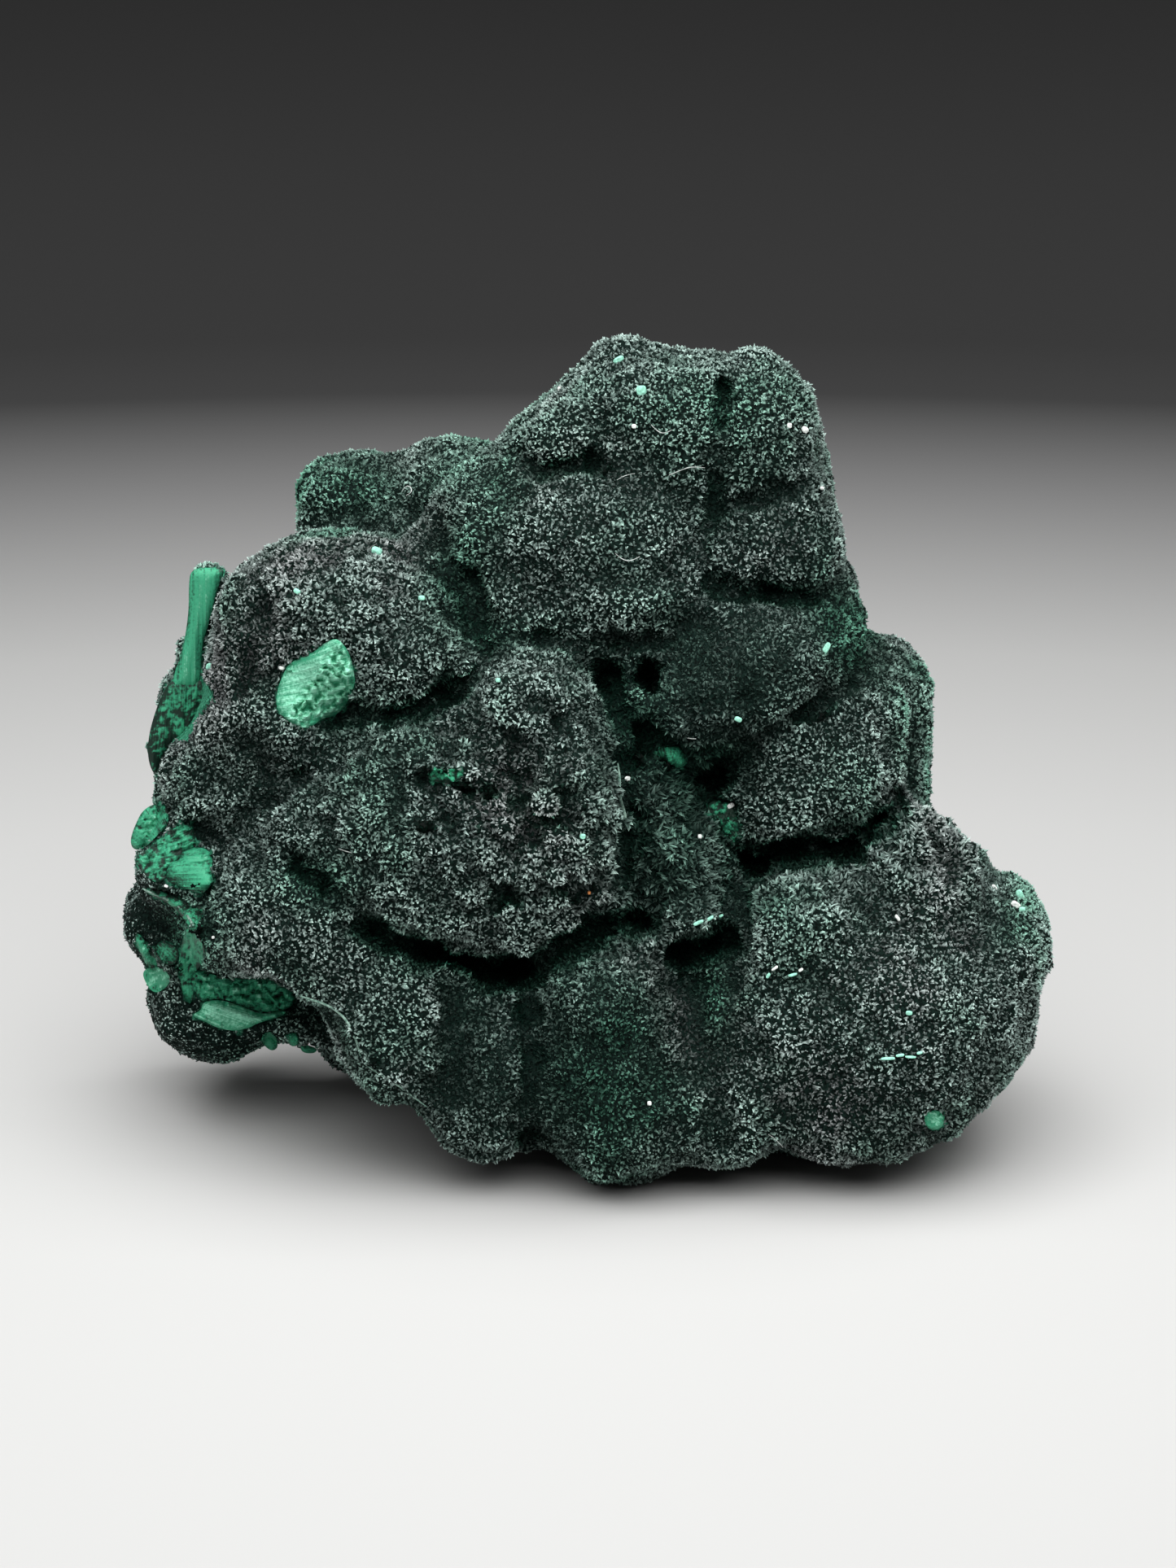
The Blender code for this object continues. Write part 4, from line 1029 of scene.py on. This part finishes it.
def crystal():
    """One crystal, its foot at height 0 and its tip at height 1: its corners, its faces and their map."""
    bm = bmesh.new()
    bmesh.ops.create_cone(bm, cap_ends=True, segments=3, radius1=1, radius2=0, depth=1,
                          matrix=Matrix.Translation((0, 0, 0.5)))
    corners = np.array([vert.co for vert in bm.verts])
    faces = [sorted((vert.index for vert in face.verts), key=lambda i: corners[i][2]) for face in bm.faces]
    turned = [[vert.index for vert in face.verts] for face in bm.faces]
    bm.free()
    flat = [[(0, 0), (1, 0), (0.5, 1) if corners[face[2]][2] > 0.5 else (0.5, 0.1)] for face in faces]
    laid = [[flat[k][face.index(i)] for i in turned[k]] for k, face in enumerate(faces)]
    return corners, np.array(turned), np.array(laid)


def spread_over(mesh, count, draw):
    """Places spread evenly over the velvet's part of the skin, with the normal, hollow and crack there."""
    mesh.calc_loop_triangles()
    corners = np.empty(len(mesh.loop_triangles) * 3, np.int32)
    mesh.loop_triangles.foreach_get("vertices", corners)
    corners = corners.reshape(-1, 3)
    places, normals = read(mesh, "co"), read(mesh, "normal")
    hollow, crack = np.empty((2, len(places)), np.float32)
    mesh.attributes["hollow"].data.foreach_get("value", hollow)
    mesh.attributes["crack"].data.foreach_get("value", crack)
    first, second, third = (places[corners[:, k]] for k in range(3))
    area = np.linalg.norm(np.cross(second - first, third - first), axis=1)
    middles = (first + second + third) / 3
    area[is_bare(middles, normals[corners].mean(1)) | (middles[:, 2] < FLOOR_GAP[0])] = 0
    passed = np.cumsum(area)
    chosen = corners[np.searchsorted(passed, (np.arange(count) + draw.random(count)) / count * passed[-1])]
    share = draw.dirichlet((1, 1, 1), count)[:, :, None]
    kept = [(values[chosen] * share).sum(1) for values in (places, normals)]
    return kept + [(values[chosen] * share[:, :, 0]).sum(1) for values in (hollow, crack)]


def unit(vectors):
    return vectors / np.linalg.norm(vectors, axis=1)[:, None]


def tuft_at(place):
    """How far a crystal has grown at this place (mm), from 0 in the gaps to 1 in the middle of a tuft."""
    bent = place + TUFT_WARP[1] * noise.noise_vector(place / TUFT_WARP[0])
    grown = 0.5 + TUFT_SHARP[0] * noise.noise(bent / TUFT_SIZE)
    return min(max(grown + TUFT_SHARP[1] * noise.noise(place / (4 * TUFT_SIZE)), 0), 1)


def velvet_pieces(skin):
    """Crystals all over the skin, in bands from left to right."""
    draw = np.random.default_rng(VELVET_SEED)
    count = BANDS * CRYSTALS
    feet, normals, hollow, crack = spread_over(skin, count, draw)
    sway = np.array([noise.noise_vector(Vector(foot) / SWAY_ACROSS) for foot in feet])
    up = unit(normals + LEANS[0] * sway + LEANS[1] * draw.normal(size=(count, 3)))
    across = unit(np.cross(up, draw.normal(size=(count, 3))))
    over = np.cross(up, across)
    grown = np.array([tuft_at(Vector(foot)) for foot in feet])
    width = draw.uniform(*CRYSTAL_WIDTH, count)
    height = CRYSTAL_HEIGHT[0] + np.ptp(CRYSTAL_HEIGHT) * grown * draw.uniform(SHORTEST, 1, count)
    height *= 1 + coarseness(feet, normals, 3)
    sinks = up[:, 2] < 0
    height[sinks] = np.minimum(height[sinks], CRYSTAL_SUNK + FLOOR_SHARE * feet[sinks, 2] / -up[sinks, 2])
    corners, faces, laid = crystal()
    side, front, top = (corners[None, :, k, None] for k in range(3))
    places = feet[:, None] + width[:, None, None] * (side * across[:, None] + front * over[:, None])
    places = places + (height[:, None, None] * top - CRYSTAL_SUNK) * up[:, None]
    places[:, :, 2] = np.maximum(places[:, :, 2], LOWEST)
    lighter, greener = patches_and_painted_light(feet, normals)
    waves = stripes(feet, normals)
    waves += [sum(strong * noise.noise(Vector(foot) / wide) for strong, wide in TONE_WAVES) for foot in feet]
    # A crystal's tone: its spread, waves and streaks are the stone's own; its lift in tuft middles is
    # painted shade in the gaps.
    light = TONE_SPREAD * draw.normal(size=count) + TUFT_PAINTED_SHADE * (grown - 0.5) + waves + lighter
    # Darker over cracks and in hollows, lighter on the grains: painted shade and light.
    tone = np.clip(TONE * np.exp(light) * np.exp(-CRACK_PAINTED_SHADE * crack - HOLLOW_PAINTED_SHADE * hollow), 0, 1)
    cells = np.stack(np.divmod(np.arange(CRYSTALS), MAP_ROWS), 1)[:, None, None] + MAP_MARGIN
    laid = (cells + laid[None] * (1 - 2 * MAP_MARGIN)) / MAP_ROWS
    order = np.argsort(feet[:, 0])
    finish = velvet()
    for band in range(BANDS):
        mine = order[band * CRYSTALS:(band + 1) * CRYSTALS]
        mesh = bpy.data.meshes.new(f"velvet_{band + 1}")
        numbers = faces[None] + len(corners) * np.arange(CRYSTALS)[:, None, None]
        mesh.from_pydata(places[mine].reshape(-1, 3), [], numbers.reshape(-1, 3).tolist())
        mesh.uv_layers.new(name="OFBake").data.foreach_set("uv", laid.ravel())
        keep_attribute(mesh, "tip", np.tile(corners[:, 2], CRYSTALS))
        for name, values in (("tone", tone), ("hollow", hollow), ("green", greener)):
            keep_attribute(mesh, name, np.repeat(values[mine], len(corners)))
        mesh.materials.append(finish)
        to_row(mesh)
        piece = new_object(f"velvet_{band + 1}", mesh)
        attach(piece, "root")


class Sight:
    """What the photograph sees of the skin: the depth at a pixel."""

    def __init__(self, skin):
        self.tree = tree_of(skin)
        self.eye = Vector(camera_place())

    def depth(self, u, v):
        reached = self.tree.ray_cast(self.eye, (from_picture(u, v, 0.0) - self.eye).normalized())[0]
        return None if reached is None else reached.y

    def surface(self, pixels):
        """Depths at these pixels (n, 2) of a curved sheet laid on the skin, nowhere behind it."""
        middle, spread = pixels.mean(0), pixels.std(0) + 1
        depths = [self.depth(u, v) for u, v in pixels]
        depths = np.array([np.nan if depth is None else depth for depth in depths])
        terms, kept = curved((pixels - middle) / spread), ~np.isnan(depths)
        for _ in range(FIT_ROUNDS):
            bend = np.linalg.lstsq(terms[kept], depths[kept], rcond=None)[0]
            kept = np.abs(terms @ bend - depths) < FIT_WITHIN
        near = np.where(np.isnan(depths) | (terms @ bend - depths > HANGS_OVER), FAR, depths)
        return np.minimum(np.minimum(terms @ bend, near - FACE_CLEAR), np.nanmedian(depths) + FACE_BEND)


def curved(points):
    u, v = points.T
    return np.stack([np.ones(len(u)), u, v, u * u, u * v, v * v], 1)


def rounded(outline):
    """The outline with its corners cut."""
    for _ in range(CORNER_CUTS):
        ends = list(zip(outline, outline[1:] + outline[:1]))
        outline = [tuple(np.add(np.multiply(a, 1 - part), np.multiply(b, part)))
                   for a, b in ends for part in (0.25, 0.75)]
    return outline


def sheet(outline):
    """A flat sheet in the picture's pixels, in small squares; z is 0 at its back and 1 at its front."""
    bm = bmesh.new()
    bm.faces.new([bm.verts.new((u, v, 0)) for u, v in outline])
    for axis in range(2):
        line = [0, 0, 0]
        line[axis] = 1
        values = [point[axis] for point in outline]
        for at in np.arange(min(values) + FIRST_LINE * SHEET_STEP, max(values), SHEET_STEP):
            bmesh.ops.bisect_plane(bm, geom=bm.verts[:] + bm.edges[:] + bm.faces[:], dist=0.0001,
                                   plane_co=[at * part for part in line], plane_no=line)
    made = bmesh.ops.extrude_face_region(bm, geom=bm.faces[:], use_keep_orig=True)["geom"]
    front = [part for part in made if isinstance(part, bmesh.types.BMVert)]
    bmesh.ops.translate(bm, verts=front, vec=(0, 0, 1))
    return bm


def broken_faces(sight):
    """Every broken face, laid on the skin where the photograph shows it, as one piece."""
    whole = bmesh.new()
    kept = {name: [] for name in ("hill", "pale", "along", "across")}
    plain, on_grains, on_ridges, at_edge = LIGHT_ON_FACE
    strong, large, small = FACE_GRAINS
    for stand, fan, fibres, grains, (du, dv, start), pale, free, outline in BROKEN.values():
        outline = rounded(list(outline))
        bm = sheet(outline)
        pixels = np.array([vert.co[:2] for vert in bm.verts])
        backs = np.array([vert.co.z < 0.5 for vert in bm.verts])
        depth = sight.surface(pixels) if free is None else np.full(len(pixels), free)
        edge = distance_to_line(pixels, outline + outline[:1]) / PIXELS_PER_MM
        middle = pixels.mean(0)
        rise = 1 - np.exp(-edge / EDGE_RISE)
        along = np.hypot(*(pixels - fan).T)
        across = np.arctan2(*(pixels - fan).T) * np.median(along)
        grainy = np.clip((pixels @ (du, dv) - start) / GRAINS_BEGIN, 0, 1)
        hills = []
        for k, vert in enumerate(bm.verts):
            spot = Vector((pixels[k][0], pixels[k][1], 0)) / PIXELS_PER_MM
            ridge = noise.noise(Vector((across[k] / RIDGES[0], along[k] / RIDGES[1], 3)))
            warped = spot + FACE_WARP[1] * noise.noise_vector(spot / FACE_WARP[0])
            lump = strong * dome(warped, large) + strong * noise.noise(warped / small)
            hill = fibres * ridge * 2 + grains * grainy[k] * lump
            front = depth[k] - stand * rise[k] - hill * rise[k]
            if backs[k]:
                vert.co = from_picture(*(middle + FACE_TAPER * (pixels[k] - middle)), depth[k] + FACE_SUNK)
                hills.append(WALL_HILL)
                continue
            vert.co = from_picture(*pixels[k], front)
            light = plain + grainy[k] * lump * on_grains + (1 - grainy[k]) * ridge * on_ridges
            hills.append(light - at_edge * (1 - rise[k]))
        bmesh.ops.recalc_face_normals(bm, faces=bm.faces[:])
        if bm.calc_volume(signed=True) < 0:
            bmesh.ops.reverse_faces(bm, faces=bm.faces[:])
        whole.from_mesh(mesh_of(bm, "face"))
        for name, values in zip(kept, (hills, np.full(len(pixels), pale), along + WALL_RUN * backs, across)):
            kept[name].extend(values)
    mesh = mesh_of(whole, "broken_faces")
    for name, values in kept.items():
        keep_attribute(mesh, name, np.array(values))
    mesh.materials.append(broken_stone())
    to_row(mesh)
    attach(new_object("broken_faces", mesh), "root")


def plain_finish(name, dark, light):
    """A matt finish mottled between two colours."""
    made, place, shader = finish_named(name, 0.7, specular=0.2)
    mottle = place.noise(*MOTTLES)
    wear(shader, mottle.ramp(0.35, 0.65).between(dark, light), mottle, MOTTLE_BUMP)
    return made


def strands(sight):
    """Pale lips of shell along the broken edges, and stray hairs of lint."""
    finishes = {"shell_lips": plain_finish("shell lip", *SHELL), "lint": plain_finish("lint", *LINT)}
    for name, lines in STRANDS.items():
        curve = bpy.data.curves.new(name, "CURVE")
        curve.dimensions = "3D"
        curve.bevel_depth = 1.0
        curve.bevel_resolution = 1
        curve.resolution_u = 4
        curve.use_fill_caps = True
        for half, stand, line in lines:
            depths = [sight.depth(u, v) for u, v in line]
            found = [depth for depth in depths if depth is not None]
            run = curve.splines.new("NURBS")
            run.points.add(len(line) - 1)
            run.order_u = 3
            run.use_endpoint_u = True
            for k, ((u, v), depth) in enumerate(zip(line, depths)):
                depth = min(FAR if depth is None else depth, np.median(found) + STRAND_DIP) - stand + half
                run.points[k].co = (*from_picture(u, v, depth), 1)
                run.points[k].radius = half * (STRAND_END if k in (0, len(line) - 1) else 1)
        holder = new_object(name, curve)
        mesh = evaluated(holder)
        bpy.data.objects.remove(holder)
        mesh.materials.clear()
        mesh.materials.append(finishes[name])
        to_row(mesh)
        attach(new_object(name, mesh), "root")


def flecks(sight):
    """Loose pale grains that lie on the velvet."""
    whole = bmesh.new()
    tints = list(FLECK_TINTS)
    for u, v, wide, high, lean, tint in FLECKS:
        middle = from_picture(u, v, sight.depth(u, v) - FLECK_STANDS)
        half = (wide / 2 / PIXELS_PER_MM, FLECK_THICK, high / 2 / PIXELS_PER_MM)
        bm = bmesh.new()
        add_lobe(bm, middle, half, lean, FLECK_SQUARENESS, rounds=3)
        for vert in bm.verts:
            vert.co += FLECK_WARP[0] * min(half[0], half[2]) * noise.noise_vector(vert.co * FLECK_WARP[1])
        for face in bm.faces:
            face.material_index = tints.index(tint)
        whole.from_mesh(mesh_of(bm, "fleck"))
    mesh = mesh_of(whole, "flecks")
    for name, tint in FLECK_TINTS.items():
        dark = tuple(FLECK_SHADE * part for part in tint[:3]) + (1,)
        mesh.materials.append(plain_finish(f"{name} fleck", dark, tint))
    to_row(mesh)
    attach(new_object("flecks", mesh), "root")


def studio():
    """A flat paper floor with a painted pool of light that darkens with the distance from its middle, soft
    light from above, and the camera.
    """
    bm = bmesh.new()
    bmesh.ops.create_circle(bm, cap_ends=True, segments=PAPER_SIDES, radius=PAPER_RADIUS)
    floor = new_object("floor", mesh_of(bm, "floor"))
    paper, place, shader = finish_named("paper with painted light pool", 0.9)
    away = place.node("ShaderNodeVectorMath", {"operation": "LENGTH"}, {0: place}, out=1)
    wear(shader, away.node("ShaderNodeValToRGB", {"stops": PAINTED_LIGHT_POOL}, {"Fac": away * TONES_PER_METRE}))
    floor.data.materials.append(paper)

    for name, (place_at, size, power) in LAMPS.items():
        lamp = bpy.data.lights.new(name, "AREA")
        lamp.shape, lamp.size, lamp.energy = "SQUARE", size, power
        light = new_object(name, lamp)
        light.location = place_at
        light.rotation_euler = (Vector(LAMPS_AIM) - light.location).to_track_quat("-Z", "Y").to_euler()

    world = bpy.data.worlds.new("studio air")
    world.use_nodes = True
    air = world.node_tree.nodes["Background"].inputs
    air["Color"].default_value, air["Strength"].default_value = (1, 1, 1, 1), AIR_LIGHT
    bpy.context.scene.world = world

    lens = bpy.data.cameras.new("camera")
    lens.sensor_width = SENSOR_WIDTH
    lens.lens = SENSOR_WIDTH * PIXELS_PER_MM * CAMERA_AWAY / PICTURE_HEIGHT
    lens.clip_start = NEAREST_SEEN
    camera = new_object("camera", lens)
    camera.location = (Vector(camera_place()) - Vector((*MIDDLE, 0))) * MM
    camera.rotation_euler = (math.pi / 2 - CAMERA_RISE, 0, 0)
    bpy.context.scene.camera = camera
    bpy.context.scene.view_settings.view_transform = "Standard"


noise.seed_set(NOISE_SEED)
studio()
skin = stone_skin()
velvet_pieces(skin)
sight = Sight(skin)
broken_faces(sight)
strands(sight)
flecks(sight)
to_row(skin)
